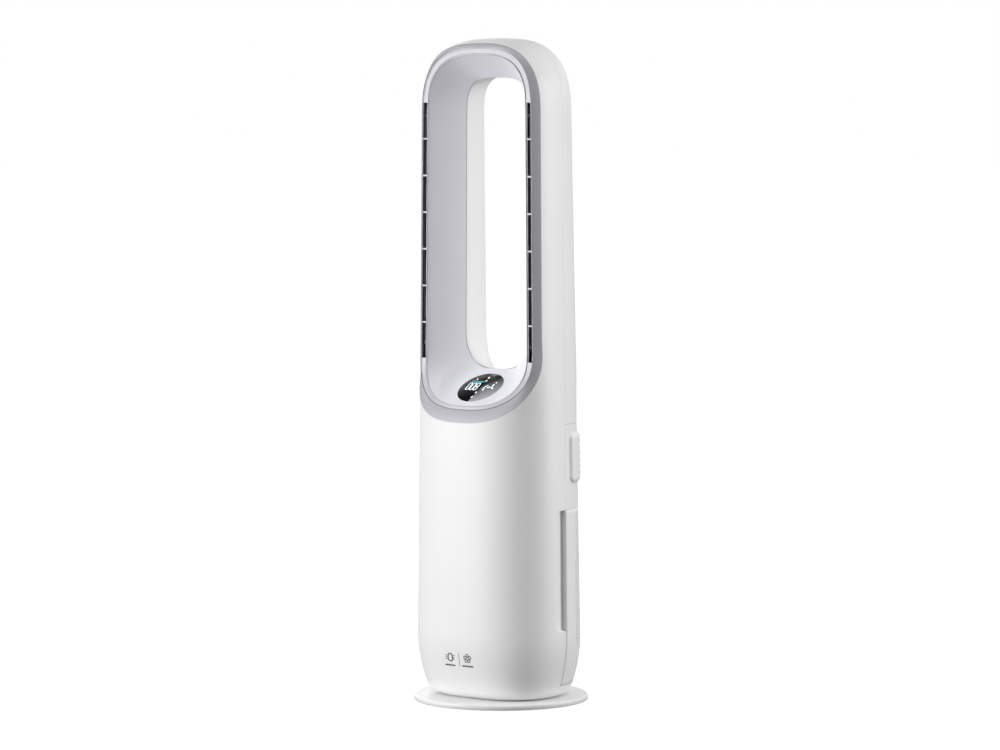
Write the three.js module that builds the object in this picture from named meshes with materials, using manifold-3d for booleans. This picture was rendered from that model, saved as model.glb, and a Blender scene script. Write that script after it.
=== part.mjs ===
// Bladeless tower fan with an air-cleaning cartridge, as separate pieces. Millimetres, +Z up.
// The origin is the centre of the base where it meets the floor, and the front faces -Y.

import * as THREE from 'three'
import { mergeVertices } from 'three/addons/utils/BufferGeometryUtils.js'
import Module from 'manifold-3d'

const wasm = await Module()
wasm.setup()

// ---- Driving dimensions -------------------------------------------------------------------

const height = 1050 // floor to crown
const gap = 0.3 // clearance where two pieces meet
const wall = 2.6 // moulded shell wall

// How many straight sides stand for a full turn
const columnSegments = 36
const wideSegments = 36
const roundSegments = 28
const smallSegments = 12

// Column: half sizes where it would meet the floor, and how much each narrows up to the crown
const halfWidth = 130.3
const halfWidthLoss = 11
const frontDepth = 109.8
const frontDepthLoss = 7
const rearDepth = 124.5
const rearDepthLoss = 37
const rearLoopDepth = 109 // beside the loop the back is flatter
const rearLoopDepthLoss = 42.4
const lowerSquareness = 2.7 // exponent of the front half of the section, below the loop
const loopSquareness = 3.1 // and beside the loop
const rearSquareness = 2 // the same two for the back half
const rearLoopSquareness = 2.5
const loopBlend = 150 // height over which the lower section turns into the one beside the loop
const crownRise = 120 // height over which the crown closes
const crownSquareness = 2.8
const heelRise = 98 // height over which the bottom draws in
const heelRadius = 250 // radius of that drawn-in side
const heelCorner = 11 // tight round below it
const heelCornerInset = 9

// Base
const discRadius = 138.3
const discTop = 10
const discRound = 3
const discSkin = 3
const footHeight = 1.2
const footInner = 104
const footOuter = 118
const towerBottom = 12.6
const plateThickness = 2
const ballastThickness = 2.9
const leadInletRadius = 2.4
const leadInletWall = 1.2
const screwRadius = 2
const screwHeadRadius = 4
const screwCircle = 78
const screwCount = 3

// Turntable
const washerInner = 48
const washerOuter = 68
const floorThickness = 4
const hubRadius = 24
const hubBore = 14
const hubFlange = 40
const hubFlangeHeight = 2.6
const gearModule = 2.4
const gearTeeth = 30
const pinionTeeth = 10
const gearThickness = 8
const meshClearance = 0.4
const swivelMotorRadius = 24
const swivelMotorHeight = 15
const bracketThickness = 2.5
const bracketLegWidth = 5
const nutHeight = 3
const nutRim = 5
const pinionShaftRadius = 2.2

// Bays, from the bottom up
const skirtTop = 30
const bayFloor = 56
const shelf = 2.5
const doorTop = 310
const fanBay = 134
const rearSeam = doorTop + fanBay
const sill = rearSeam + 3.6 // lowest point of the loop's front edge

// Filter cartridge and its door
const filterRadius = 92
const filterBore = 45
const capThickness = 6
const sealThickness = 8
const tabLength = 34
const filterCapLip = 20 // how far the bottom cap closes the bore
const pleats = 28
const pleatDepth = 6
const intakeColumns = 6
const intakeRows = 4
const intakeWidth = 8
const intakeHeight = 46
const intakeFrom = 32 // degrees round from +X
const intakeTo = 148
const intakeAbove = 26 // clear of the door's lower and upper edge
const intakeBelow = 22

// Grip scoops in the front shell, at the door's two upright edges
const gripHeight = 192
const gripWidth = 20
const gripDepth = 12
const gripFloor = 2 // the flat at the scoop's deep end, and its depth at the shallow end

// Fan
const housingRadius = 90
const housingWall = 2.4
const inletRadius = 60
const impellerRadius = 80
const impellerGap = 8
const bladeCount = 15
const bladeHeight = 44
const bladeThickness = 1.6
const bladeLength = 19
const bladeSweep = 38
const discThickness = 3
const hubBossRadius = 13
const hubBossHeight = 12
const shaftRadius = 4
const motorRadius = 42
const motorHeight = 44
const canWall = 2.6
const bearingRadius = 10
const bearingHeight = 5
const armCount = 3
const armWidth = 10
const armThickness = 3
const isolatorHeight = 5
const padRadius = 6
const guardBars = 3
const guardWidth = 2.4

// Vent hood on the back
const hoodBottom = 350
const hoodTop = 430
const hoodProud = 4.6
const hoodSlope = 5
const hoodEdgeY = 13.5
const louvreCount = 7
const louvreHeight = 4
const louvreEdgeY = 50
const windowMargin = 8 // the panel's opening behind the hood is smaller than the hood
const sensorHalfWidth = 24
const sensorDepth = 12

// Loop: half-widths at mid height, drops below the crown, rises above the sill, and places in Y
const edgeInset = 4.5
const bezelWidth = 7.8
const rimWidth = 2.6
const slotWidth = 8.2
const lipWidth = 1.2
const bezelWall = 2.2
const ringForward = 64.5
const ringForwardAtTop = 60
const ringForwardAtSill = 98.5
const ringThickness = 2.5
const throatHalfWidth = 63
const throatForward = 8
const throatDrop = 62
const throatRise = 80.4
const funnelWall = 2
const backFlare = 12
const backDepth = 63
const slotsPerSide = 7
const slotRib = 4.6
const slotTopDrop = 102
const slotBottomRise = 96.5
const ductWall = 1.2
const vaneDepth = 4.7
const vaneWall = 1

// Display
const lensRadius = 38.5
const lensPlace = 0.49 // how far up the loop's floor its centre lies
const trayDepth = 12
const trayWall = 2

// ---- Solids -------------------------------------------------------------------------------

const radians = THREE.MathUtils.degToRad

// A closed mesh with shared vertices, without the collapsed triangles that lie on an axis.
function toSolid(geometry) {
  const bare = geometry.clone()
  for (const name of Object.keys(bare.attributes)) {
    if (name !== 'position') bare.deleteAttribute(name)
  }
  const merged = mergeVertices(bare, 1e-4)
  const index = merged.index.array
  const triangles = []
  for (let i = 0; i < index.length; i += 3) {
    const [a, b, c] = [index[i], index[i + 1], index[i + 2]]
    if (a !== b && b !== c && c !== a) triangles.push(a, b, c)
  }
  const points = merged.attributes.position.array
  if (signedVolume(points, triangles) < 0) triangles.reverse()
  return new wasm.Manifold(new wasm.Mesh({
    numProp: 3,
    vertProperties: new Float32Array(points),
    triVerts: new Uint32Array(triangles),
  }))
}

function signedVolume(points, triangles) {
  let sum = 0
  const [a, b, c] = [new THREE.Vector3(), new THREE.Vector3(), new THREE.Vector3()]
  for (let i = 0; i < triangles.length; i += 3) {
    a.fromArray(points, triangles[i] * 3)
    b.fromArray(points, triangles[i + 1] * 3)
    c.fromArray(points, triangles[i + 2] * 3)
    sum += a.dot(b.cross(c))
  }
  return sum
}

function toGeometry(solid) {
  const mesh = solid.getMesh()
  const geometry = new THREE.BufferGeometry()
  geometry.setAttribute('position', new THREE.BufferAttribute(mesh.vertProperties, 3))
  geometry.setIndex(new THREE.BufferAttribute(mesh.triVerts, 1))
  return geometry
}

const join = (first, ...rest) => rest.reduce((sum, solid) => sum.add(solid), first)
const cut = (first, ...rest) => rest.reduce((left, solid) => left.subtract(solid), first)

// Turned about Z from closed outline points [radius, z].
function turned(outline, segments = roundSegments) {
  const points = outline.map(([r, z]) => new THREE.Vector2(r, z))
  if (outline.every(([r]) => r > 0)) points.push(points[0].clone())
  return toSolid(new THREE.LatheGeometry(points, segments).rotateX(Math.PI / 2))
}

const ring = (inner, outer, z0, z1, segments) =>
  turned([[inner, z0], [outer, z0], [outer, z1], [inner, z1]], segments)

const disc = (radius, z0, z1, segments) =>
  turned([[0, z0], [radius, z0], [radius, z1], [0, z1]], segments)

function box(x0, x1, y0, y1, z0, z1) {
  const geometry = new THREE.BoxGeometry(x1 - x0, y1 - y0, z1 - z0)
  return toSolid(geometry.translate((x0 + x1) / 2, (y0 + y1) / 2, (z0 + z1) / 2))
}

const outlineShape = (points) => new THREE.Shape(points.map(([x, y]) => new THREE.Vector2(x, y)))

// An outline in X and Y, drawn up along Z.
function upright(points, z0, z1) {
  const options = { depth: z1 - z0, bevelEnabled: false }
  return toSolid(new THREE.ExtrudeGeometry(outlineShape(points), options).translate(0, 0, z0))
}

// An outline in X and Z, drawn back along Y.
function throughDepth(points, y0, y1) {
  const options = { depth: y1 - y0, bevelEnabled: false }
  const geometry = new THREE.ExtrudeGeometry(outlineShape(points), options)
  return toSolid(geometry.rotateX(Math.PI / 2).translate(0, y1, 0))
}

// A round lead along a smooth path.
function lead(path, radius, steps) {
  const circle = new THREE.Shape().absarc(0, 0, radius, 0, 2 * Math.PI)
  const curve = new THREE.CatmullRomCurve3(path.map((p) => new THREE.Vector3(...p)))
  const options = { extrudePath: curve, steps, curveSegments: 4, bevelEnabled: false }
  return toSolid(new THREE.ExtrudeGeometry(circle, options))
}

// Rings of points in order, each joined to the next: closed by its two end faces, or round on itself.
function loft(given, { closed = false } = {}) {
  const clockwise = THREE.ShapeUtils.isClockWise(given[0].map(flatPoint(given[0])))
  const rings = clockwise ? given.map((points) => [...points].reverse()) : given
  const count = rings[0].length
  const index = []
  const spans = closed ? rings.length : rings.length - 1
  for (let j = 0; j < spans; j += 1) {
    const next = (j + 1) % rings.length
    for (let i = 0; i < count; i += 1) {
      const k = (i + 1) % count
      const [a, b, c, d] = [j * count + i, j * count + k, next * count + k, next * count + i]
      index.push(a, b, c, a, c, d)
    }
  }
  if (!closed) {
    const faces = THREE.ShapeUtils.triangulateShape(rings[0].map(flatPoint(rings[0])), [])
    const last = (rings.length - 1) * count
    for (const [a, b, c] of faces) {
      index.push(a, c, b, last + a, last + b, last + c)
    }
  }
  const geometry = new THREE.BufferGeometry()
  const points = rings.flat().flatMap((p) => [p.x, p.y, p.z])
  geometry.setAttribute('position', new THREE.Float32BufferAttribute(points, 3))
  geometry.setIndex(index)
  return toSolid(geometry)
}

// An end face is triangulated in X and Y where it lies level, and in X and Z where it stands up.
function flatPoint(points) {
  const level = points.every((p) => Math.abs(p.z - points[0].z) < 1e-6)
  return (p) => new THREE.Vector2(p.x, level ? p.y : p.z)
}

// ---- Column -------------------------------------------------------------------------------

const mix = (a, b, t) => a + (b - a) * t
const power = (value, exponent) => Math.sign(value) * Math.abs(value) ** exponent
const widthAt = (z) => halfWidth - (halfWidthLoss * z) / height
const taperAt = (z) => widthAt(z) / widthAt((sill + height) / 2)

// How much of its full size the section keeps where the crown closes.
function crownShare(z) {
  const t = Math.max(0, (z - (height - crownRise)) / crownRise)
  return Math.max(0, 1 - t ** crownSquareness) ** (1 / crownSquareness)
}

// How far the side draws in at the heel.
function heelInset(z) {
  const below = Math.max(0, towerBottom + heelRise - z)
  const side = heelRadius - Math.sqrt(heelRadius ** 2 - below ** 2)
  const t = Math.max(0, (towerBottom + heelCorner - z) / heelCorner)
  return side + heelCornerInset * (1 - Math.sqrt(1 - Math.min(1, t) ** 2))
}

// Half sizes of the section at a height, drawn in by an inset: to the side, the front and the back.
function sectionAt(z, inset = 0) {
  const lost = heelInset(z) + inset
  const share = crownShare(z)
  const up = z / height
  const beside = THREE.MathUtils.smoothstep(z, sill, sill + loopBlend)
  const [round, flat] = [rearDepth - rearDepthLoss * up, rearLoopDepth - rearLoopDepthLoss * up]
  return {
    side: widthAt(z) * share - lost,
    front: (frontDepth - frontDepthLoss * up) * share - lost,
    back: mix(round, flat, beside) * share - lost,
    square: mix(lowerSquareness, loopSquareness, beside),
    rearSquare: mix(rearSquareness, rearLoopSquareness, beside),
  }
}

function sectionRing(z, inset = 0) {
  const { side, front, back, square, rearSquare } = sectionAt(z, inset)
  const points = []
  for (let i = 0; i < columnSegments; i += 1) {
    const angle = (2 * Math.PI * i) / columnSegments
    const [c, s] = [Math.cos(angle), Math.sin(angle)]
    const exponent = 2 / (s < 0 ? square : rearSquare)
    const depth = s < 0 ? front : back
    points.push(new THREE.Vector3(side * power(c, exponent), depth * power(s, exponent), z))
  }
  return points
}

// Y of the column's front surface at a place across it.
function frontSurface(x, z) {
  const { side, front, square } = sectionAt(z)
  const across = Math.min(1, Math.abs(x) / side) ** square
  return -front * (1 - across) ** (1 / square)
}

const crownAngles = [0, 7, 16, 28, 42, 57, 72, 84]
const crownHeights = crownAngles.map(
  (angle) => height - crownRise + crownRise * Math.sin(radians(angle)) ** (2 / crownSquareness),
)
const heelHeights = [0, 1.2, 4.5, heelCorner, 30, 60, heelRise].map((rise) => towerBottom + rise)
const blendHeights = [0, loopBlend / 2, loopBlend].map((rise) => sill + rise)
const columnHeights = [...heelHeights, doorTop, ...blendHeights, ...crownHeights]

// How far up an inset moves the heel, and how far down it moves the crown.
function liftAt(z, inset) {
  const atHeel = THREE.MathUtils.clamp(1 - (z - towerBottom) / heelCorner, 0, 1)
  const atCrown = THREE.MathUtils.clamp((z - (height - crownRise)) / crownRise, 0, 1)
  return inset * (atHeel - atCrown)
}

// The whole column, drawn in all round by an inset.
function column(inset) {
  return loft(columnHeights.map((z) => {
    const lift = liftAt(z, inset)
    return sectionRing(z, inset).map((p) => new THREE.Vector3(p.x, p.y, p.z + lift))
  }))
}

// A stretch of the column between two heights, drawn in or, when negative, grown out.
const stretch = (z0, z1, inset) => loft([sectionRing(z0, inset), sectionRing(z1, inset)])

const reach = 2 * height // longer than anything here
const slab = (z0, z1) => box(-reach, reach, -reach, reach, z0, z1)
const frontHalf = box(-reach, reach, -reach, -gap / 2, -reach, reach)
const backHalf = box(-reach, reach, gap / 2, reach, -reach, reach)

const outside = column(0)
const inside = column(wall)
const room = column(wall + gap)
const plateIn = (z0, z1) => room.intersect(slab(z0, z1))

// ---- Loop curves --------------------------------------------------------------------------

const arcSteps = 14
const sideSteps = 3
const cradleBegin = 112.4 // the loop's lower bends begin this far above the sill
const easing = 2.4 // how late in a bend the face leaves its plane

// A closed curve round the loop. The half-width is at mid height; drop and rise are the clear
// distances from the crown and the sill; forward is how far it lies ahead of the column's middle.
function loopCurve(spec, grow = 0) {
  const { half, drop, rise, arch = crownRise, cradle = cradleBegin } = spec
  const { archSquare = 2.8, cradleSquare = 2.65 } = spec
  const [top, bottom] = [height - drop + grow, sill + rise - grow]
  const [archZ, cradleZ] = [height - arch, sill + cradle]
  const points = []
  for (let i = 0; i < arcSteps; i += 1) {
    const angle = (Math.PI * i) / arcSteps
    const z = archZ + (top - archZ) * power(Math.sin(angle), 2 / archSquare)
    points.push([power(Math.cos(angle), 2 / archSquare), z])
  }
  for (let i = 0; i < sideSteps; i += 1) points.push([-1, mix(archZ, cradleZ, i / sideSteps)])
  for (let i = 0; i < arcSteps; i += 1) {
    const angle = (Math.PI * i) / arcSteps
    const z = cradleZ - (cradleZ - bottom) * power(Math.sin(angle), 2 / cradleSquare)
    points.push([-power(Math.cos(angle), 2 / cradleSquare), z])
  }
  for (let i = 0; i < sideSteps; i += 1) points.push([1, mix(cradleZ, archZ, i / sideSteps)])
  return points.map(([across, z]) => {
    const x = across * (half + grow) * taperAt(z)
    const archShare = THREE.MathUtils.clamp((z - archZ) / (top - archZ), 0, 1)
    const cradleShare = THREE.MathUtils.clamp((cradleZ - z) / (cradleZ - bottom), 0, 1)
    const y = spec.forward === undefined ? frontSurface(x, z) : -forwardAt(spec, archShare, cradleShare)
    return new THREE.Vector3(x, y, z)
  })
}

function forwardAt({ forward, atTop = forward, atSill = forward }, archShare, cradleShare) {
  const towardsTop = (atTop - forward) * archShare ** easing
  const towardsSill = (atSill - forward) * cradleShare ** easing
  return forward + towardsTop + towardsSill
}

const mixCurves = (a, b, t) => a.map((p, i) => p.clone().lerp(b[i], t))
const backBy = (curve, depth) => curve.map((p) => new THREE.Vector3(p.x, p.y + depth, p.z))

const face = { forward: ringForward, atTop: ringForwardAtTop, atSill: ringForwardAtSill }
const edgeHalf = widthAt((sill + height) / 2) - edgeInset
const slotOuter = edgeHalf - bezelWidth - rimWidth
const slotInner = slotOuter - slotWidth
const edgeSpec = { half: edgeHalf, drop: 8.6, rise: 0 }
const bezelSpec = { half: edgeHalf - bezelWidth, drop: 14.3, rise: 19.7, ...face }
const lipSpec = {
  half: slotInner - lipWidth, drop: 27.2, rise: 26.1, ...face, atSill: ringForwardAtSill - 2,
}
const throatSpec = {
  half: throatHalfWidth, drop: throatDrop, rise: throatRise, forward: throatForward,
  arch: 122, cradle: 147.6, archSquare: 3.3, cradleSquare: 2.8,
}
const backSpec = {
  ...throatSpec, half: throatHalfWidth + backFlare, drop: throatDrop - 6, rise: throatRise - 28,
  forward: throatForward - backDepth,
}

// The bore of the loop behind the throat, run straight on past the column's back.
function boreBehindThroat(grow) {
  const start = loopCurve(throatSpec, grow)
  const end = loopCurve(backSpec, grow)
  const past = rearDepth / backDepth + 0.5
  return loft([start, end.map((p, i) => start[i].clone().lerp(p, past))])
}

// ---- Shells -------------------------------------------------------------------------------

const turntableHole = washerOuter + 3
const shell = cut(outside, inside, disc(turntableHole, 0, towerBottom + wall + 1))
const gripBottom = doorTop - gripHeight

// Keeps the body that matters where a cut leaves slivers.
function largest(solid) {
  return solid.decompose().reduce((best, body) => (body.volume() > best.volume() ? body : best))
}

// A scoop that deepens towards the door's edge, on the side given by its sign.
function gripScoop(side, lining) {
  const x = widthAt((doorTop + gripBottom) / 2)
  const points = [
    [side * (x + gripWidth), -gripWidth - lining],
    [side * (x + gripWidth), 0],
    [side * (x - gripDepth - lining), 0],
    [side * (x - gripDepth - lining), -gripFloor],
    [side * (x - gripFloor - lining), -gripWidth - lining],
  ]
  return upright(points, gripBottom - lining, doorTop + lining)
}

function frontShellSolid() {
  const front = loopCurve(edgeSpec, gap).map((p) => [p.x, p.z])
  const opening = throughDepth(front, -reach, -gap)
  const linings = [-1, 1].map((side) => gripScoop(side, wall).intersect(outside))
  const scoops = [-1, 1].map((side) => gripScoop(side, 0))
  return largest(cut(join(shell, ...linings), opening, ...scoops).intersect(frontHalf))
}

function rearLoopShellSolid() {
  const bore = boreBehindThroat(0)
  const lining = boreBehindThroat(wall).intersect(outside).intersect(slab(sill, height))
  const back = shell.intersect(backHalf).intersect(slab(rearSeam + gap / 2, reach))
  return largest(cut(join(back, lining), bore))
}

const rearPanel = (z0, z1) => shell.intersect(backHalf).intersect(slab(z0 + gap / 2, z1 - gap / 2))

function rearMidPanelSolid() {
  const [low, high] = [hoodBottom + windowMargin, hoodTop - windowMargin]
  return cut(rearPanel(doorTop, rearSeam), box(-sensorHalfWidth, sensorHalfWidth, 0, reach, low, high))
}

function ventHoodSolid() {
  const slope = [[0, -2 * gap], [hoodSlope, -hoodProud]]
  const rings = [
    ...slope.map(([rise, inset]) => sectionRing(hoodBottom + rise, inset)),
    ...slope.reverse().map(([rise, inset]) => sectionRing(hoodTop - rise, inset)),
  ]
  const body = cut(loft(rings), stretch(hoodBottom - wall, hoodTop + wall, -gap))
  const pitch = (hoodTop - hoodBottom - 2 * hoodSlope) / louvreCount
  const louvres = Array.from({ length: louvreCount }, (_, i) => {
    const z = hoodBottom + hoodSlope + (i + 0.5) * pitch
    return box(-reach, reach, louvreEdgeY, reach, z - louvreHeight / 2, z + louvreHeight / 2)
  })
  return cut(body.intersect(box(-reach, reach, hoodEdgeY, reach, 0, height)), ...louvres)
}

function filterDoorSolid() {
  const [low, high] = [skirtTop + intakeAbove, doorTop - intakeBelow]
  const pitch = (high - low) / intakeRows
  const windows = []
  for (let row = 0; row < intakeRows; row += 1) {
    const [z0, z1] = [low + row * pitch, low + row * pitch + intakeHeight]
    for (let place = 0; place < intakeColumns; place += 1) {
      const angle = mix(intakeFrom, intakeTo, place / (intakeColumns - 1))
      const opening = box(halfWidth / 2, reach, -intakeWidth / 2, intakeWidth / 2, z0, z1)
      windows.push(opening.rotate([0, 0, angle]))
    }
  }
  return cut(rearPanel(skirtTop, doorTop), ...windows)
}

function prefilterScreenSolid() {
  const [low, high] = [capBottom, sealBottom]
  return cut(room, column(wall + gap + 1)).intersect(box(-reach, reach, rearDepth / 3, reach, low, high))
}

// ---- Loop face ----------------------------------------------------------------------------

function frontBezelSolid() {
  const [outer, inner] = [loopCurve(edgeSpec), loopCurve(bezelSpec)]
  const innerBack = backBy(loopCurve(bezelSpec, -gap), bezelWall)
  const outerBack = backBy(outer, bezelWall)
  return loft([outer, inner, innerBack, outerBack], { closed: true })
}

function slotHeights() {
  const [low, high] = [sill + slotBottomRise, height - slotTopDrop]
  const pitch = (high - low + slotRib) / slotsPerSide
  return Array.from({ length: slotsPerSide }, (_, i) => [low + i * pitch, low + (i + 1) * pitch - slotRib])
}

// Boxes in line with the slots of one side, between two distances from the middle.
function slotBoxes(side, inner, outer, y0, y1) {
  return slotHeights().map(([z0, z1]) => {
    const taper = side * taperAt((z0 + z1) / 2)
    const [a, b] = [inner * taper, outer * taper]
    return box(Math.min(a, b), Math.max(a, b), y0, y1, z0, z1)
  })
}

function outletRingSolid() {
  const outer = loopCurve(bezelSpec, -2 * gap)
  const inner = loopCurve(lipSpec)
  const curves = [outer, inner, backBy(inner, ringThickness), backBy(outer, ringThickness)]
  const [y0, y1] = [-ringForward - ringThickness, -ringForward + 2 * ringThickness]
  const slots = [-1, 1].flatMap((side) => slotBoxes(side, slotInner, slotOuter, y0, y1))
  return cut(loft(curves, { closed: true }), ...slots)
}

const funnelRows = 4

function funnelBlank() {
  const skinFront = loopCurve(lipSpec, -gap)
  const skinThroat = backBy(loopCurve(throatSpec), -gap)
  const behindRing = backBy(skinFront, ringThickness + gap)
  const backFront = backBy(loopCurve(lipSpec, gap), ringThickness + gap)
  const backThroat = backBy(loopCurve(throatSpec, funnelWall), -gap)
  const rows = []
  for (let j = 0; j <= funnelRows; j += 1) rows.push(mixCurves(skinFront, skinThroat, j / funnelRows))
  for (let j = funnelRows; j >= 0; j -= 1) rows.push(mixCurves(backFront, backThroat, j / funnelRows))
  return loft([...rows, behindRing], { closed: true })
}

// The display lies in the loop's floor: its centre, and the turn that lays a piece along the slope.
const floorFront = new THREE.Vector2(-lipSpec.atSill, sill + lipSpec.rise)
const floorBack = new THREE.Vector2(-throatForward, sill + throatRise)
const lensCentre = floorFront.clone().lerp(floorBack, lensPlace)
const floorSlope = THREE.MathUtils.radToDeg(floorBack.clone().sub(floorFront).angle())
const onFloor = (solid) => solid.rotate([floorSlope, 0, 0]).translate([0, lensCentre.x, lensCentre.y])

const blank = funnelBlank()
const lensPlug = (radius) => onFloor(disc(radius, -reach / 50, reach / 50, wideSegments))
const innerFunnelSolid = () => cut(blank, lensPlug(lensRadius + gap))
const lensSolid = () => blank.intersect(lensPlug(lensRadius))

// ---- Air path in the loop -----------------------------------------------------------------

// How far out the back of the funnel's side lies at a place in Y, at mid height.
function funnelBackAt(y) {
  const start = ringForward - ringThickness - gap
  const share = (y + start) / (start - throatForward)
  return mix(lipSpec.half + gap, throatHalfWidth + funnelWall, share)
}
const ductClear = 0.8

// One side's duct in plan, at mid height: a channel open towards the slots.
const ductPath = [
  [slotOuter - 0.5, -ringForward + 4],
  [slotOuter + 6.6, -ringForward + 17],
  [edgeHalf - 0.3, -20],
  [edgeHalf + 0.8, 0],
  [edgeHalf - 4.5, 24],
  [edgeHalf - 17, 41],
  [edgeHalf - 28, 49],
  [throatHalfWidth + 15.5, 49],
  [funnelBackAt(-throatForward) + ductClear + 1.4, -throatForward],
  [funnelBackAt(-ringForward + 8.5) + ductClear, -ringForward + 8.5],
  [slotInner - 0.6, -ringForward + 4],
]
const ductLow = sill + slotBottomRise + 22
const ductHigh = height - crownRise

// An open path given a thickness on its left, as a closed outline.
function thickened(path, thickness) {
  const points = path.map(([x, y]) => new THREE.Vector2(x, y))
  const turn = (v) => new THREE.Vector2(-v.y, v.x)
  const inner = points.map((p, i) => {
    const before = p.clone().sub(points[Math.max(0, i - 1)]).normalize()
    const after = points[Math.min(points.length - 1, i + 1)].clone().sub(p).normalize()
    const [a, b] = [i ? before : after, i < points.length - 1 ? after : before]
    const normal = turn(a).add(turn(b)).normalize()
    return p.clone().addScaledVector(normal, thickness / normal.dot(turn(a)))
  })
  return [...points, ...inner.reverse()]
}

function sideDuctSolid(side) {
  const outline = thickened(ductPath, ductWall)
  const ends = [ductLow, ductHigh]
  return loft(ends.map((z) => outline.map((p) => new THREE.Vector3(side * p.x * taperAt(z), p.y, z))))
}

function slotVanesSolid(side) {
  const y0 = -ringForward + ringThickness + gap
  const y1 = y0 + vaneDepth
  const [low, high] = [ductLow, ductHigh]
  const [inner, outer] = [slotInner + 1.4, slotOuter - 2.2]
  const corners = [[inner, y0], [outer, y0], [outer, y1], [inner, y1]]
  const strip = loft([low, high].map((z) =>
    corners.map(([x, y]) => new THREE.Vector3(side * x * taperAt(z), y, z))))
  const windows = slotBoxes(side, inner + vaneWall, outer - vaneWall, y0 - 1, y1 + 1)
  const between = slab(low + slotRib, high - slotRib)
  return largest(cut(strip, ...windows.map((window) => window.intersect(between))))
}

const fanTop = rearSeam - 4
const collarHeight = 10

function airSplitterSolid() {
  const [inner, outer] = [housingRadius - 6, housingRadius - 0.5]
  const collar = ring(inner, outer, fanTop + gap, fanTop + collarHeight, wideSegments)
  const [rise, spread, thick] = [30, 55, 2.4]
  const z = fanTop + collarHeight - 4
  const wings = throughDepth([
    [0, z], [spread, z + rise], [spread, z + rise + thick], [0, z + thick],
    [-spread, z + rise + thick], [-spread, z + rise],
  ], -housingRadius + 4, housingRadius - 4)
  return join(collar, wings)
}

// ---- Base ---------------------------------------------------------------------------------

const plateBottom = footHeight + gap
const plateTop = plateBottom + plateThickness
const ballastBottom = plateTop + gap
const discUnderside = discTop - discSkin
const cavityRadius = discRadius - discSkin - 1
const ballastTop = Math.min(ballastBottom + ballastThickness, discUnderside - gap)

function baseDiscSolid() {
  const rounding = [0, 45, 90].map((angle) => [
    discRadius - discRound * (1 - Math.cos(radians(angle))),
    discTop - discRound * (1 - Math.sin(radians(angle))),
  ])
  const skirt = turned([
    [hubBore, discUnderside], [hubBore, discTop], ...rounding.reverse(),
    [discRadius, plateBottom], [cavityRadius, plateBottom], [cavityRadius, discUnderside],
  ], wideSegments)
  return cut(skirt, inletCore(leadInletRadius + gap, cavityRadius - 2, reach))
}

// A round bar along Y at the supply lead's inlet, in the back of the disc.
const inletZ = (plateTop + discUnderside) / 2 + 0.4
function inletCore(radius, y0, y1) {
  const core = disc(radius, -y1, -y0, smallSegments)
  return core.rotate([90, 0, 0]).translate([0, 0, inletZ])
}
const leadInletSolid = () => cut(
  inletCore(leadInletRadius, cavityRadius - 1.5, discRadius - gap),
  inletCore(leadInletRadius - leadInletWall, 0, reach),
)

const aroundCircle = (count, radius, start = 0) => Array.from({ length: count }, (_, i) => {
  const angle = radians(start) + (2 * Math.PI * i) / count
  return [radius * Math.cos(angle), radius * Math.sin(angle)]
})
const drilled = (solid, places, radius) =>
  cut(solid, ...places.map(([x, y]) => disc(radius, -reach, reach, smallSegments).translate([x, y, 0])))

const screwPlaces = aroundCircle(screwCount, screwCircle)

function basePlateSolid() {
  const plate = ring(hubBore + 5, cavityRadius - gap, plateBottom, plateTop, wideSegments)
  const notch = inletCore(leadInletRadius + gap, cavityRadius - 4, reach)
  return cut(drilled(plate, screwPlaces, screwHeadRadius + gap), notch)
}
function ballastSolid() {
  const weight = ring(hubBore + 16, cavityRadius - 6, ballastBottom, ballastTop, wideSegments)
  return drilled(weight, screwPlaces, screwRadius + gap)
}
const screwSolid = () => join(
  disc(screwHeadRadius, plateBottom, plateTop, smallSegments),
  disc(screwRadius, plateBottom, discUnderside - gap, smallSegments),
)

// ---- Turntable ----------------------------------------------------------------------------

const washerTop = towerBottom + wall
const floorBottom = washerTop + gap
const floorTop = floorBottom + floorThickness
const gearBottom = floorTop + gap
const gearTop = gearBottom + gearThickness
const nutBottom = gearTop + gap
const nutTop = nutBottom + nutHeight
const hubTop = nutTop + 2
const supply = { half: 54, front: 42, back: 90 } // the power board's place on the tower's floor
const pegInset = 6
const pegRadius = 4
const pegTop = floorTop + 8

const pivotHubSolid = () => turned([
  [hubBore, discTop + gap], [hubFlange, discTop + gap], [hubFlange, discTop + hubFlangeHeight],
  [hubRadius, discTop + hubFlangeHeight], [hubRadius, hubTop], [hubBore, hubTop],
])

function towerFloorSolid() {
  const pegs = [-1, 1].flatMap((side) => [supply.front + pegInset, supply.back - pegInset].map((y) =>
    disc(pegRadius, floorTop - 1, pegTop, smallSegments).translate([side * (supply.half - pegInset), y, 0])))
  const [legs, legZ] = [bracketLegs(), floorTop - 1]
  const bosses = legs.map(([x0, x1, y0, y1]) => box(x0, x1, y0, y1, legZ, floorTop + 1))
  const plate = cut(plateIn(floorBottom, floorTop), disc(hubRadius + gap, 0, reach))
  return join(plate, ...pegs, ...bosses)
}

// A spur gear's outline: straight-sided teeth, with its bore.
function gearSolid(teeth, bore, z0, z1) {
  const pitchRadius = (gearModule * teeth) / 2
  const tooth = [[-0.33, -1.05], [-0.14, 0.85], [0.14, 0.85], [0.33, -1.05]]
  const points = Array.from({ length: teeth }, (_, i) => tooth.map(([share, rise]) => {
    const angle = (2 * Math.PI * (i + share)) / teeth
    const radius = pitchRadius + rise * gearModule
    return [radius * Math.cos(angle), radius * Math.sin(angle)]
  })).flat()
  const wheel = upright(points, z0, z1)
  return bore ? cut(wheel, disc(bore, z0 - 1, z1 + 1)) : wheel
}

const gearRatio = gearTeeth / pinionTeeth
const pinionY = -((gearModule * (gearTeeth + pinionTeeth)) / 2 + meshClearance)
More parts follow.
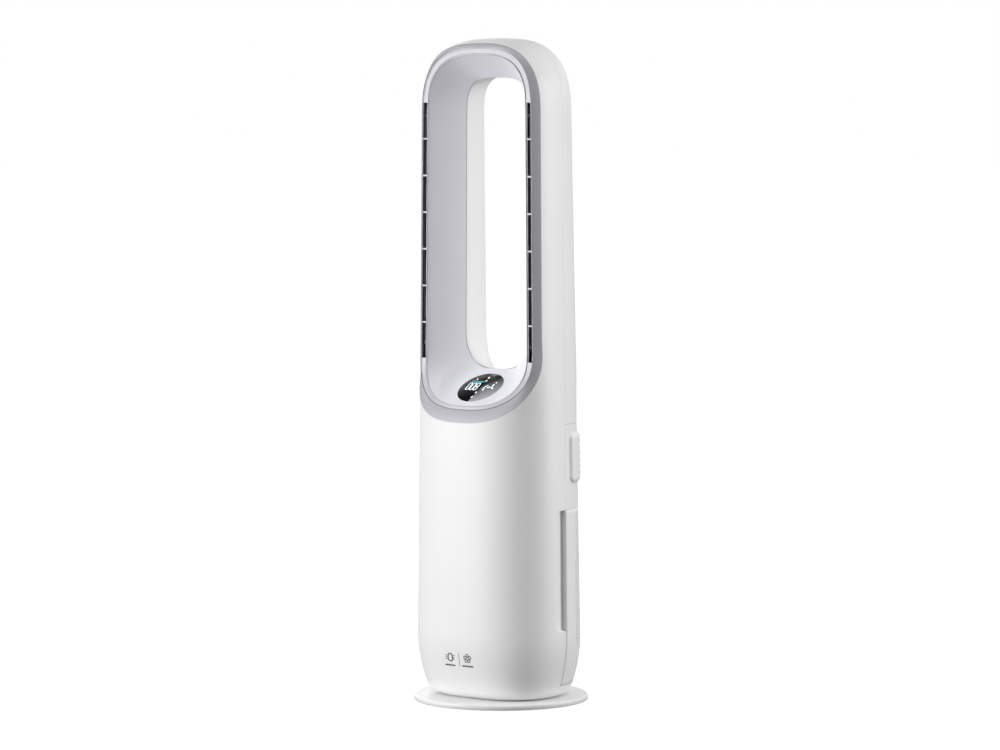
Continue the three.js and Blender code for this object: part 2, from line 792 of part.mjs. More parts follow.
// Turned so that one of its teeth stands in a gap of the fixed gear.
const pinionTurn = (2 * Math.PI * (0.75 * gearTeeth + 0.25 * pinionTeeth - 0.5)) / pinionTeeth
const bracketBottom = gearTop + 1.2
const bracketTop = bracketBottom + bracketThickness
const bracketHalf = swivelMotorRadius + 2 * bracketLegWidth

const pinionSolid = () => join(
  gearSolid(pinionTeeth, 0, gearBottom + gap, gearTop),
  disc(pinionShaftRadius, gearBottom + gap, bracketTop + swivelMotorHeight),
)

const bracketLegs = () => [-1, 1].map((side) => {
  const [a, b] = [side * bracketHalf, side * (bracketHalf - bracketLegWidth)]
  return [Math.min(a, b), Math.max(a, b), pinionY - 24, pinionY + 8]
})

function swivelBracketSolid() {
  const deck = box(-bracketHalf, bracketHalf, pinionY - 26, pinionY + 12, bracketBottom, bracketTop)
  const legs = bracketLegs().map(([x0, x1, y0, y1]) => box(x0, x1, y0, y1, floorTop + 1 + gap, bracketTop))
  const hole = disc(pinionShaftRadius + 3, 0, reach, smallSegments).translate([0, pinionY, 0])
  return cut(join(deck, ...legs), hole, disc(hubRadius + nutRim + 2, 0, reach))
}

// ---- Filter bay ---------------------------------------------------------------------------

const leadY = -frontDepth + wall + 11.5 // where the supply lead climbs, in front of the cartridge
const leadRadius = 2.5
const leadHole = (z0, z1) => disc(leadRadius + 2, z0, z1, smallSegments).translate([0, leadY, 0])

const bayFloorSolid = () => cut(plateIn(bayFloor, bayFloor + shelf), leadHole(0, reach))
const fanPlateBottom = doorTop + gap / 2 + 0.2
const fanPlateTop = fanPlateBottom + shelf
const fanPlateSolid = () => cut(
  plateIn(fanPlateBottom, fanPlateTop),
  disc(inletRadius, 0, reach),
  leadHole(0, reach),
  ...[-1, 1].map((side) => gripScoop(side, wall + gap)),
)

const capBottom = bayFloor + shelf + gap
const mediaBottom = capBottom + capThickness + gap
const sealBottom = fanPlateBottom - gap - sealThickness
const capTop = sealBottom - gap
const mediaTop = capTop - capThickness - gap

function pleatedMediaSolid() {
  const crest = filterRadius - capThickness / 2
  const points = Array.from({ length: 2 * pleats }, (_, i) => {
    const angle = (Math.PI * i) / pleats
    const radius = i % 2 ? crest - pleatDepth : crest
    return [radius * Math.cos(angle), radius * Math.sin(angle)]
  })
  return cut(upright(points, mediaBottom, mediaTop), disc(filterBore, 0, reach))
}
const capSolid = (bore, z) => ring(bore, filterRadius, z, z + capThickness, wideSegments)
const sealSolid = () => ring(inletRadius + 2, inletRadius + 18, sealBottom, sealBottom + sealThickness)
const pullTabSolid = () => box(-14, 14, filterRadius + gap, filterRadius + gap + 1.2,
  capTop - capThickness - tabLength, capTop - 1)

// ---- Fan ----------------------------------------------------------------------------------

const housingBottom = fanPlateTop + gap
const shroudBottom = housingBottom + impellerGap
const bladeBottom = shroudBottom + discThickness
const backPlate = bladeBottom + bladeHeight
const impellerTop = backPlate + discThickness
const motorBottom = impellerTop + 3
const motorTop = motorBottom + motorHeight
const ledgeRadius = impellerRadius + 1.5
const armBottom = motorTop + gap
const armTop = armBottom + armThickness
const ledgeTop = armBottom - 2 * gap - isolatorHeight
const padCircle = housingRadius - housingWall - padRadius - 2 * gap
const armPlaces = aroundCircle(armCount, padCircle, 90)

const housingSolid = () => turned([
  [housingRadius - housingWall, housingBottom], [housingRadius, housingBottom],
  [housingRadius, fanTop], [housingRadius - housingWall, fanTop],
  [housingRadius - housingWall, ledgeTop], [ledgeRadius - 8, ledgeTop],
  [ledgeRadius - 8, ledgeTop - housingWall], [housingRadius - housingWall, ledgeTop - housingWall],
], wideSegments)

// The inlet lip stands inside the impeller's eye with a running gap.
const eyeRadius = inletRadius - 1
const inletConeSolid = () => turned([
  [inletRadius + 6, housingBottom], [inletRadius + 6, housingBottom + 2],
  [eyeRadius - 1, housingBottom + impellerGap - 2], [eyeRadius - 1, shroudBottom + 2],
  [eyeRadius - 3, shroudBottom + 2], [eyeRadius - 3, housingBottom + 4], [inletRadius, housingBottom],
])

function inletGuardSolid() {
  const [z0, z1] = [fanPlateBottom - gap - 3, fanPlateBottom - gap]
  const rim = ring(inletRadius - 3, inletRadius + 1.4, z0, z1)
  const middle = ring(26, 29, z0, z1, smallSegments)
  const bar = box(-inletRadius + 1, inletRadius - 1, -guardWidth / 2, guardWidth / 2, z0, z1)
  const bars = Array.from({ length: guardBars }, (_, i) => bar.rotate([0, 0, (i * 180) / guardBars]))
  return join(rim, middle, ...bars)
}

function impellerSolid() {
  const shroud = ring(eyeRadius + 0.8, impellerRadius, shroudBottom, bladeBottom + gap)
  const plate = ring(shaftRadius + gap, impellerRadius, backPlate - gap, impellerTop)
  const boss = ring(shaftRadius + gap, hubBossRadius, backPlate - hubBossHeight, backPlate, smallSegments)
  const blades = aroundCircle(bladeCount, impellerRadius - bladeLength / 2 - 0.5).map(([x, y], i) =>
    box(-bladeLength / 2, bladeLength / 2, -bladeThickness / 2, bladeThickness / 2, bladeBottom, backPlate)
      .rotate([0, 0, (360 * i) / bladeCount + bladeSweep]).translate([x, y, 0]))
  return join(shroud, plate, boss, ...blades)
}

const impellerNutHeight = 7
const impellerNutZ = backPlate - hubBossHeight - gap
const impellerNutSolid = () => cut(
  upright(aroundCircle(6, 2 * shaftRadius), impellerNutZ - impellerNutHeight, impellerNutZ),
  disc(shaftRadius + gap, 0, reach, smallSegments),
)
const shaftSolid = () => disc(shaftRadius, impellerNutZ - impellerNutHeight - 2, armTop + 1, smallSegments)

const canFloor = motorBottom + canWall
const motorCanSolid = () => turned([
  [bearingRadius + gap, motorBottom], [motorRadius, motorBottom], [motorRadius, motorTop],
  [motorRadius - canWall, motorTop], [motorRadius - canWall, canFloor], [bearingRadius + gap, canFloor],
])
const statorSolid = () => ring(24, motorRadius - canWall - gap, canFloor + gap, motorTop - 7)
const rotorSolid = () => ring(shaftRadius + gap, 22.5, canFloor + bearingHeight + 1, motorTop - 8)
const bearingSolid = (z0, z1) => ring(shaftRadius + gap, bearingRadius, z0, z1, smallSegments)

function motorMountSolid() {
  const centre = disc(motorRadius + 1, armBottom, armTop)
  const arm = box(-armWidth / 2, armWidth / 2, 0, padCircle, armBottom, armTop)
  const arms = armPlaces.map((_, i) => arm.rotate([0, 0, (360 * i) / armCount]))
  const pad = disc(padRadius, armBottom, armTop, smallSegments)
  const pads = armPlaces.map(([x, y]) => pad.translate([x, y, 0]))
  return cut(join(centre, ...arms, ...pads), disc(bearingRadius + gap, 0, reach, smallSegments))
}
const isolatorRingSolid = () =>
  ring(ledgeRadius - 6, housingRadius - housingWall - gap, ledgeTop + gap, armBottom - gap, wideSegments)

// ---- Electronics --------------------------------------------------------------------------

const carrierY = -housingRadius - 7
const carrierHalf = 40
const boardThickness = 1.6
const mainBoardBottom = fanPlateTop + 16
const carrierSolid = () => cut(
  box(-carrierHalf, carrierHalf, carrierY, carrierY + 2, fanPlateTop + gap, fanTop - 6),
  box(-2 * leadRadius, 2 * leadRadius, -reach, 0, 0, mainBoardBottom),
)
const mainBoardSolid = () => box(-carrierHalf + 4, carrierHalf - 4,
  carrierY - gap - boardThickness, carrierY - gap, mainBoardBottom, fanTop - 14)
const supplyBottom = pegTop + 2 * gap + boardThickness
const supplyY = (supply.front + supply.back) / 2
const transformerSolid = () => box(-34, -4, supplyY - 16, supplyY + 16, supplyBottom, supplyBottom + 18)
const powerBoardSolid = () => join(
  box(-supply.half, supply.half, supply.front, supply.back, pegTop + gap, pegTop + gap + boardThickness),
  disc(8, pegTop + gap, supplyBottom + 17, smallSegments).translate([24, supplyY, 0]),
)
const sensorSolid = () => box(-sensorHalfWidth + 1, sensorHalfWidth - 1,
  housingRadius + 1 - gap, housingRadius + 1 + sensorDepth, hoodBottom + 10, hoodTop - 10)

const supplyLeadSolid = () => lead([
  [supply.half + leadRadius + gap, supplyY, pegTop + 1], [84, 0, pegTop + 6], [66, -58, pegTop + 8],
  [16, leadY + 10, pegTop + 12], [0, leadY, bayFloor - 2], [0, leadY, 120],
  [0, leadY, fanPlateTop - 8], [0, leadY, mainBoardBottom - gap],
], leadRadius, 22)

// ---- Display ------------------------------------------------------------------------------

const trayTop = -funnelWall - 0.4
const displayTraySolid = () => onFloor(cut(
  disc(lensRadius + 3, trayTop - trayDepth, trayTop),
  disc(lensRadius + 1, trayTop - trayDepth + trayWall, 1),
))
const displayBoardSolid = () => onFloor(
  disc(lensRadius, trayTop - trayDepth + trayWall + gap, trayTop - trayDepth + trayWall + 2))

// ---- Assembly -----------------------------------------------------------------------------

const finish = (color, roughness, metalness = 0) => ({ color, roughness, metalness })
const finishes = {
  white: finish('#f2f2f2', 0.42),
  grey: finish('#b9b8c0', 0.38),
  pale: finish('#d6d5dc', 0.35),
  black: finish('#101113', 0.12),
  dark: finish('#2b2c30', 0.6),
  board: finish('#1f5a3a', 0.55),
  paper: finish('#e9e6dc', 0.9),
  foam: finish('#3a3a3c', 0.95),
  rubber: finish('#26272a', 0.9),
  nylon: finish('#e4e0d2', 0.5),
  steel: finish('#9ea1a5', 0.35, 1),
  iron: finish('#55575b', 0.6, 1),
  copper: finish('#b9764a', 0.4, 1),
}

function piece(name, kind, solid, position = [0, 0, 0], turn = 0) {
  const mesh = new THREE.Mesh(toGeometry(solid), new THREE.MeshStandardMaterial(finishes[kind]))
  mesh.name = name
  mesh.position.set(...position)
  mesh.rotation.z = turn
  return mesh
}

function group(...pieces) {
  const parts = new THREE.Group()
  parts.add(...pieces)
  return parts
}

const base = group(
  piece('base_disc', 'white', baseDiscSolid()),
  piece('base_plate', 'dark', basePlateSolid()),
  piece('ballast_ring', 'iron', ballastSolid()),
  ...screwPlaces.map(([x, y], i) => piece(`base_screw_${i + 1}`, 'steel', screwSolid(), [x, y, 0])),
  piece('foot_ring', 'rubber', ring(footInner, footOuter, 0, footHeight, wideSegments)),
  piece('lead_inlet', 'dark', leadInletSolid()),
  piece('pivot_hub', 'nylon', pivotHubSolid()),
  piece('thrust_washer', 'nylon', ring(washerInner, washerOuter, discTop + gap, washerTop)),
  piece('swivel_gear', 'nylon', gearSolid(gearTeeth, hubRadius + gap, gearBottom, gearTop)),
  piece('hub_nut', 'steel', ring(hubRadius + gap, hubRadius + nutRim, nutBottom, nutTop)),
)

const shells = group(
  piece('front_shell', 'white', frontShellSolid()),
  piece('rear_loop_shell', 'white', rearLoopShellSolid()),
  piece('rear_mid_panel', 'white', rearMidPanelSolid()),
  piece('rear_skirt', 'white', largest(rearPanel(0, skirtTop))),
  piece('vent_hood', 'white', largest(ventHoodSolid())),
)

const loopFace = group(
  piece('front_bezel', 'grey', frontBezelSolid()),
  piece('outlet_ring', 'pale', outletRingSolid()),
  piece('inner_funnel', 'grey', innerFunnelSolid()),
  piece('display_lens', 'black', lensSolid()),
  piece('display_tray', 'dark', displayTraySolid()),
  piece('display_board', 'board', displayBoardSolid()),
  piece('left_duct', 'nylon', sideDuctSolid(-1)),
  piece('right_duct', 'nylon', sideDuctSolid(1)),
  piece('left_slot_vanes', 'dark', slotVanesSolid(-1)),
  piece('right_slot_vanes', 'dark', slotVanesSolid(1)),
  piece('air_splitter', 'nylon', airSplitterSolid()),
)

const chassis = group(
  piece('tower_floor', 'dark', towerFloorSolid()),
  piece('swivel_bracket', 'steel', swivelBracketSolid()),
  piece('swivel_motor', 'steel', ring(pinionShaftRadius + gap, swivelMotorRadius, 0, swivelMotorHeight),
    [0, pinionY, bracketTop + gap]),
  piece('bay_floor', 'dark', bayFloorSolid()),
  piece('fan_plate', 'dark', fanPlateSolid()),
  piece('filter_seal', 'foam', sealSolid()),
  piece('inlet_guard', 'dark', inletGuardSolid()),
  piece('inlet_cone', 'dark', inletConeSolid()),
  piece('fan_housing', 'dark', housingSolid()),
  piece('motor_can', 'steel', motorCanSolid()),
  piece('motor_stator', 'copper', statorSolid()),
  piece('lower_bearing', 'steel', bearingSolid(motorBottom, motorBottom + bearingHeight)),
  piece('upper_bearing', 'steel', bearingSolid(armTop - bearingHeight, armTop)),
  piece('motor_mount', 'dark', motorMountSolid()),
  piece('isolator_ring', 'rubber', isolatorRingSolid()),
  piece('board_carrier', 'dark', carrierSolid()),
  piece('main_board', 'board', mainBoardSolid()),
  piece('power_board', 'board', powerBoardSolid()),
  piece('transformer', 'copper', transformerSolid()),
  piece('air_sensor', 'dark', sensorSolid()),
  piece('supply_lead', 'rubber', supplyLeadSolid()),
)

const fanRotor = group(
  piece('impeller', 'dark', impellerSolid()),
  piece('impeller_nut', 'steel', impellerNutSolid()),
  piece('fan_shaft', 'steel', shaftSolid()),
  piece('motor_rotor', 'iron', rotorSolid()),
)

const swivelDrive = group(
  piece('drive_pinion', 'nylon', pinionSolid(), [0, pinionY, 0], pinionTurn),
)

const cartridge = group(
  piece('filter_media', 'paper', pleatedMediaSolid()),
  piece('filter_bottom_cap', 'dark', capSolid(filterBore - filterCapLip, capBottom)),
  piece('filter_top_cap', 'dark', capSolid(filterBore, capTop - capThickness)),
  piece('filter_pull_tab', 'rubber', pullTabSolid()),
)

const door = group(
  piece('filter_door', 'white', filterDoorSolid()),
  piece('prefilter_screen', 'foam', prefilterScreenSolid()),
)

const fan = group(base, shells, loopFace, chassis, fanRotor, swivelDrive, cartridge, door)
export default fan
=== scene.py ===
"""The looks of a bladeless tower fan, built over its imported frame. Modelling is in millimetres,
and each finished piece is scaled to metres. +Z is up and the front faces -Y."""

from dataclasses import dataclass
from math import asin, cos, hypot, pi, radians, sin, sqrt

import bmesh
import bpy
from bpy.props import FloatProperty, FloatVectorProperty, IntProperty, PointerProperty
from mathutils import Matrix, Vector


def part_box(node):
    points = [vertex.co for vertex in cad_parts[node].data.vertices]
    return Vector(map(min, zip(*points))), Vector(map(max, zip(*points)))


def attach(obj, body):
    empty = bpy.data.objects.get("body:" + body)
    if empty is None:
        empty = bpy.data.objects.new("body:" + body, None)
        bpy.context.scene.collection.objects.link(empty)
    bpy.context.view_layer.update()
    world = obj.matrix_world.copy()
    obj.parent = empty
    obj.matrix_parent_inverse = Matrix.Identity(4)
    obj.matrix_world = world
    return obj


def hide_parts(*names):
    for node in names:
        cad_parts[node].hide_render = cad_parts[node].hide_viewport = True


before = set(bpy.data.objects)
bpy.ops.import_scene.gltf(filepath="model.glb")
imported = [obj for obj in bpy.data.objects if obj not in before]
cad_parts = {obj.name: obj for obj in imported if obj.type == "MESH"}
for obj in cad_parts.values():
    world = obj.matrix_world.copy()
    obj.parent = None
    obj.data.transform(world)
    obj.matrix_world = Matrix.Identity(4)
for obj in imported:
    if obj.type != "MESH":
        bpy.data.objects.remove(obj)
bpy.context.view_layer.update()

bl_info = {
    "name": "Bladeless Tower Fan",
    "version": (1, 0, 0),
    "blender": (4, 5, 0),
    "location": "3D View > Sidebar > Tower Fan",
    "description": "Builds the shells, air loop, display, filter and foot of a bladeless tower fan",
    "category": "Add Mesh",
}

MM = 0.001
TOUCHING = 0.002  # points nearer than this, in millimetres, are one
EDGE_ANGLE = radians(38)  # a fold sharper than this is rounded


def corners(node):
    """The lowest and the highest corner of a CAD node, in millimetres."""
    low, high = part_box(node)
    return low / MM, high / MM


def linear(colour):
    """An sRGB hex colour as linear red, green, blue and alpha."""
    parts = [int(colour[i : i + 2], 16) / 255 for i in (1, 3, 5)]
    return tuple(c / 12.92 if c <= 0.04045 else ((c + 0.055) / 1.055) ** 2.4 for c in parts) + (1.0,)


# ---- Sizes and colours --------------------------------------------------------------------


def length(name, description, millimetres):
    return FloatProperty(name=name, description=description, default=millimetres * MM, unit="LENGTH")


def colour(name, description, value):
    return FloatVectorProperty(
        name=name, description=description, default=linear(value), size=4, subtype="COLOR", min=0, max=1
    )


class FanSizes(bpy.types.PropertyGroup):
    seam: length("Seam", "Half the width of the joint line between two outer mouldings", 0.15)
    wall: length("Wall", "Thickness of the outer shells", 2.6)
    edge: length("Edge", "Rounding of the shells' edges", 0.25)
    bore_round: length("Bore rounding", "How far back the loop's rear edge begins to round", 15)
    hole_pitch: length("Hole pitch", "Distance between the rear door's holes", 4.8)
    hole_radius: length("Hole radius", "Radius of one hole in the rear door", 1.45)
    louvre_depth: length("Louvre depth", "How far the hood's louvres are cut in", 3.2)
    disc_steps: IntProperty(name="Disc steps", description="Sides of the round foot", default=144)


class FanColours(bpy.types.PropertyGroup):
    shell: colour("Shell", "White of the outer shells and the foot", "#F4F4F4")
    bezel: colour("Bezel", "Grey of the loop's front bezel", "#B4B4BA")
    outlet: colour("Outlet ring", "Pale grey of the outlet ring", "#C6C6CC")
    funnel: colour("Funnel", "Grey of the loop's inner walls", "#EFEFF5")
    display: colour("Display", "Smoked black of the display window", "#0A0A0B")
    # painted reflection: the paler grey painted over the display window's right half
    painted_reflection: colour("Display veil", "Grey that the display's right half fades to", "#B4B5B8")
    ink: colour("Ink", "Printed pictograms on the front", "#5C5C60")
    light: colour("Display light", "Lit digits and marks", "#F4F6FA")
    gauge: colour("Display gauge", "Lit gauge line", "#3A9DB0")


def size(name):
    """A size from the scene's own settings, in millimetres."""
    return getattr(bpy.context.scene.fan_sizes, name) / MM


def tone(name):
    return tuple(getattr(bpy.context.scene.fan_colours, name))


# ---- Column and loop, as the CAD model has them ------------------------------------------

TOP = corners("front_shell")[1].z
TOWER_BOTTOM = corners("front_shell")[0].z
SILL = corners("front_bezel")[0].z
SKIRT_TOP = corners("rear_skirt")[1].z
DOOR_TOP = corners("filter_door")[1].z
REAR_SEAM = corners("rear_loop_shell")[0].z
FRONT_JOIN = SILL - 30  # the front's rows run round the loop above this and level below it

HALF_WIDTH, HALF_WIDTH_LOSS = 130.3, 11
FRONT_DEPTH, FRONT_DEPTH_LOSS = 109.8, 7
REAR_DEPTH, REAR_DEPTH_LOSS = 124.5, 37
REAR_LOOP_DEPTH, REAR_LOOP_DEPTH_LOSS = 109, 42.4
LOWER_SQUARE, LOOP_SQUARE = 2.7, 3.1
REAR_SQUARE, REAR_LOOP_SQUARE = 2, 2.5
LOOP_BLEND = 150
CROWN = 930  # the crown closes above this
CROWN_SQUARE = 2.8
HEEL_RISE, HEEL_RADIUS = 98, 250
HEEL_CORNER, HEEL_CORNER_INSET = 11, 9
HEEL_ROWS = [TOWER_BOTTOM + HEEL_CORNER * (1 - sin(radians(10 * i))) for i in range(10)]
RIM_SHARE = 0.12  # the share by which the shells' rim turns in under the heel

GRIP_HEIGHT, GRIP_WIDTH, GRIP_DEPTH, GRIP_STEP, GRIP_SLOPE = 192, 26, 7.6, 3.2, 3.0
GRIP_CORNER = 16
GRIP_LOW = DOOR_TOP - GRIP_HEIGHT
HOOD_PROUD, HOOD_SLOPE, HOOD_EASING, HOOD_CORNER, HOOD_END = 4.6, 5, 7.5, 14, 13.5
LOUVRES, LOUVRE_HEIGHT, LOUVRE_END = 7, 4, 50
HOLES_LOW, HOLES_HIGH, HOLES_START = 92, 304, 33

SLOTS, SLOT_RIB = 7, 2.4
THROAT_GAP = 0.7  # half the open joint between the funnel and the rear loop shell
SLOT_LOW, SLOT_HIGH = SILL + 96.5, TOP - 101.5
EASING = 2.4


def mix(a, b, t):
    return a + (b - a) * t


def evenly(a, b, count):
    """The ends of as many equal steps from a to b."""
    return [mix(a, b, i / count) for i in range(count + 1)]


def power(value, exponent):
    return abs(value) ** exponent * (1 if value >= 0 else -1)


def smooth(t):
    t = min(1, max(0, t))
    return t * t * (3 - 2 * t)


def width_at(z):
    return HALF_WIDTH - HALF_WIDTH_LOSS * z / TOP


def taper_at(z):
    return width_at(z) / width_at((SILL + TOP) / 2)


def heel_inset(z):
    """How far the side draws in at the heel."""
    below = max(0, TOWER_BOTTOM + HEEL_RISE - z)
    t = max(0, (TOWER_BOTTOM + HEEL_CORNER - z) / HEEL_CORNER)
    corner = HEEL_CORNER_INSET * (1 - sqrt(1 - min(1, t) ** 2))
    return HEEL_RADIUS - sqrt(HEEL_RADIUS**2 - below**2) + corner


def half_sizes(z, facing, grow=0.0):
    """The section's half width, its depth to the front (-1) or the back (1), and its squareness."""
    lost, up = heel_inset(z) - grow, z / TOP
    beside = smooth((z - SILL) / LOOP_BLEND)
    side = width_at(z) - lost
    if facing < 0:
        return side, FRONT_DEPTH - FRONT_DEPTH_LOSS * up - lost, mix(LOWER_SQUARE, LOOP_SQUARE, beside)
    depth = mix(REAR_DEPTH - REAR_DEPTH_LOSS * up, REAR_LOOP_DEPTH - REAR_LOOP_DEPTH_LOSS * up, beside)
    return side, depth - lost, mix(REAR_SQUARE, REAR_LOOP_SQUARE, beside)


def skin_share(p):
    """1 on the column's skin, and less inside it."""
    side, depth, square = half_sizes(p.z, -1 if p.y < 0 else 1)
    across = ((abs(p.x) / side) ** square + (abs(p.y) / depth) ** square) ** (1 / square)
    up = max(0, p.z - CROWN) / (TOP - CROWN)
    return (across**CROWN_SQUARE + up**CROWN_SQUARE) ** (1 / CROWN_SQUARE)


def onto_skin(p):
    """Where p comes to on the column's skin when it moves straight out from the middle."""
    core = Vector((0, 0, min(p.z, CROWN)))
    for _ in range(4):
        p = core + (p - core) / skin_share(p)
    return p


def skin_point(angle, z, facing, grow=0.0):
    """A place on the skin below the crown, by its angle from one side round to the other."""
    side, depth, square = half_sizes(z, facing, grow)
    x = side * power(cos(angle), 2 / square)
    return Vector((x, facing * depth * power(sin(angle), 2 / square), z))


def front_y(x, z):
    side, depth, square = half_sizes(z, -1)
    up = max(0, z - CROWN) / (TOP - CROWN)
    share = max(0, 1 - up**CROWN_SQUARE) ** (1 / CROWN_SQUARE)
    return -depth * max(0, share**square - (abs(x) / side) ** square) ** (1 / square)


@dataclass
class LoopLine:
    """A closed line round the loop: its half width at mid height, how far it lies below the crown
    and above the sill, and how far ahead of the column's middle. With no forward it is on the skin."""

    half: float
    drop: float
    rise: float
    forward: float | None = None
    at_top: float = 0
    at_sill: float = 0
    arch: float = 120
    cradle: float = 112.4
    arch_square: float = 2.8
    cradle_square: float = 2.65


EDGE_HALF = width_at((SILL + TOP) / 2) - 4.5
EDGE = LoopLine(EDGE_HALF, 8.6, 0)
BEZEL = LoopLine(EDGE_HALF - 7.8, 14.3, 19.7, 64.5, 60, 98.5)
LIP = LoopLine(EDGE_HALF - 19.8, 27.2, 26.1, 64.5, 60, 96.5)
THROAT = LoopLine(63, 62, 80.4, 8, 8, 8, 122, 147.6, 3.3, 2.8)
BACK = LoopLine(75, 56, 52.4, -55, -55, -55, 122, 147.6, 3.3, 2.8)

ARC_STEPS = 128
CORNER_STEPS = 30
SLOT_STEPS = 5


def slot_spans():
    pitch = (SLOT_HIGH - SLOT_LOW + SLOT_RIB) / SLOTS
    return [(SLOT_LOW + i * pitch, SLOT_LOW + (i + 1) * pitch - SLOT_RIB) for i in range(SLOTS)]


def front_angles():
    """Angles round the column's front, close together at the two grip scoops."""
    places = [size("seam")] + [0.9 * i for i in range(1, 31)] + [28.5, 31, 35, 40, 46, 53]
    _, depth, square = half_sizes(FRONT_JOIN, -1)
    near = [asin((y / depth) ** (square / 2)) for y in places]
    half = near + evenly(near[-1], pi / 2, 20)[1:-1]
    return half + [pi / 2] + [pi - a for a in reversed(half)]


def rear_angles():
    """As many angles round the column's back, evenly spaced."""
    first = size("seam") / REAR_DEPTH
    return evenly(first, pi - first, len(front_angles()) - 1)


def stations():
    """The places round the loop that every loop line shares, anticlockwise from the right side."""
    downward = []
    for low, high in reversed(slot_spans()):
        downward += evenly(high, low, SLOT_STEPS)[:-1] + [low]
    below = len(front_angles()) - 1
    corner = [0.25 * i / CORNER_STEPS for i in range(CORNER_STEPS)]
    cradle = corner + [0.25 + 0.5 * i / below for i in range(below)] + [0.75 + u for u in corner]
    found = [("arch", i / ARC_STEPS) for i in range(ARC_STEPS)]
    found += [("left", z) for z in downward[:-1]]
    found += [("cradle", u) for u in cradle]
    found += [("right", z) for z in reversed(downward[1:])]
    return found


def bend(u, begin, middle, end, square):
    """A place on a rounded end, from -1 to 1 across, and its height."""
    first = asin(max(0, (begin - middle) / (end - middle)) ** (square / 2))
    angle = mix(first, pi - first, u)
    return power(cos(angle), 2 / square), middle + (end - middle) * sin(angle) ** (2 / square)


def loop_line(line, grow=0.0):
    """The line's points at every station, grown outwards."""
    top, bottom = TOP - line.drop + grow, SILL + line.rise - grow
    arch, cradle = TOP - line.arch, SILL + line.cradle
    points = []
    for kind, value in stations():
        z = value
        if kind == "arch":
            across, z = bend(value, SLOT_HIGH, arch, top, line.arch_square)
        elif kind == "cradle":
            across, z = bend(value, SLOT_LOW, cradle, bottom, line.cradle_square)
            across = -across
        above, below = max(0, (z - arch) / (top - arch)), max(0, (cradle - z) / (cradle - bottom))
        if kind in ("left", "right"):
            square = line.arch_square if above else line.cradle_square
            across = (1 - max(above, below) ** square) ** (1 / square) * (1 if kind == "right" else -1)
        x = across * (line.half + grow) * taper_at(z)
        if line.forward is None:
            y = front_y(x, z)
        else:
            y = -line.forward - (line.at_top - line.forward) * min(1, above) ** EASING
            y -= (line.at_sill - line.forward) * min(1, below) ** EASING
        points.append(Vector((x, y, z)))
    return points


def seam_line(facing, low):
    """The outer boundary of a loop moulding: up the sides, over the crown, and level at low."""
    angles = front_angles() if facing < 0 else rear_angles()
    y = facing * size("seam")
    points = []
    for kind, value in stations():
        if kind == "arch":
            across, z = bend(value, SLOT_HIGH, CROWN, TOP, CROWN_SQUARE)
            points.append(onto_skin(Vector((across * width_at(z), y, z))))
        elif kind == "cradle" and 0.25 <= value <= 0.75:
            place = round((value - 0.25) * 2 * (len(angles) - 1))
            p = skin_point(angles[place], low, facing)
            points.append(Vector((-p.x, p.y, p.z)))
        elif kind == "cradle":
            share = min(value, 1 - value) / 0.25
            z = mix(SLOT_LOW, low, share)
            points.append(onto_skin(Vector((width_at(z) * (-1 if value < 0.5 else 1), y, z))))
        else:
            share = max(0, (value - CROWN) / (TOP - CROWN))
            x = width_at(value) * (1 - share**CROWN_SQUARE) ** (1 / CROWN_SQUARE)
            points.append(onto_skin(Vector((x * (1 if kind == "right" else -1), y, value))))
    return points


# ---- Meshes -------------------------------------------------------------------------------


def sheet(bm, columns, rows, place):
    """A grid of faces whose corners are moved to place(column, row)."""
    for vert in bmesh.ops.create_grid(bm, x_segments=columns, y_segments=rows, size=1)["verts"]:
        column, row = (vert.co.x + 1) / 2 * columns, (vert.co.y + 1) / 2 * rows
        vert.co = place(round(column), round(row))


def close_up(bm, direction, inward=False):
    """Joins the sheets' shared edges and turns their faces outwards, or into a hollow."""
    bmesh.ops.remove_doubles(bm, verts=bm.verts, dist=TOUCHING)
    bmesh.ops.recalc_face_normals(bm, faces=bm.faces)
    towards = Vector(direction)
    last = max(bm.faces, key=lambda f: f.calc_center_median().dot(towards))
    if (last.normal.dot(towards) < 0) != inward:
        bmesh.ops.reverse_faces(bm, faces=bm.faces)


def lines_sheet(bm, lines, tube=False):
    """A sheet through closed lines of equally many points. A tube also joins the last to the first."""
    count, rows = len(lines[0]), len(lines) if tube else len(lines) - 1
    sheet(bm, count, rows, lambda i, j: lines[j % len(lines)][i % count])


def moved(points, back=0.0, up=0.0):
    return [p + Vector((0, back, up)) for p in points]


def beside(bm, side, outline, low, high):
    """An upright strip by one side of the joint, from an outline of (how far in, how far back)."""
    def place(i, j):
        inset, y = outline[i]
        z = mix(low, high, j / 24)
        return Vector((side * (width_at(z) - heel_inset(z) - inset), y, z))

    sheet(bm, len(outline) - 1, 24, place)


def rounded(r, z, into, up, corner, turns):
    """A rounded corner of a spun outline, which lies to one side and to one end of its tip."""
    return [
        (r + into * corner * (1 - cos(radians(a))), z + up * corner * (1 - sin(radians(a)))) for a in turns
    ]


def spun(bm, outline, steps=96):
    """An outline of (radius, height) points turned all round Z."""
    verts = [bm.verts.new((r, 0, z)) for r, z in outline]
    edges = [bm.edges.new(pair) for pair in zip(verts, verts[1:] + verts[:1])]
    bmesh.ops.spin(
        bm, geom=verts + edges, cent=(0, 0, 0), axis=(0, 0, 1), angle=2 * pi, steps=steps, use_merge=True
    )
    bmesh.ops.remove_doubles(bm, verts=bm.verts, dist=0.001)
    bmesh.ops.recalc_face_normals(bm, faces=bm.faces)


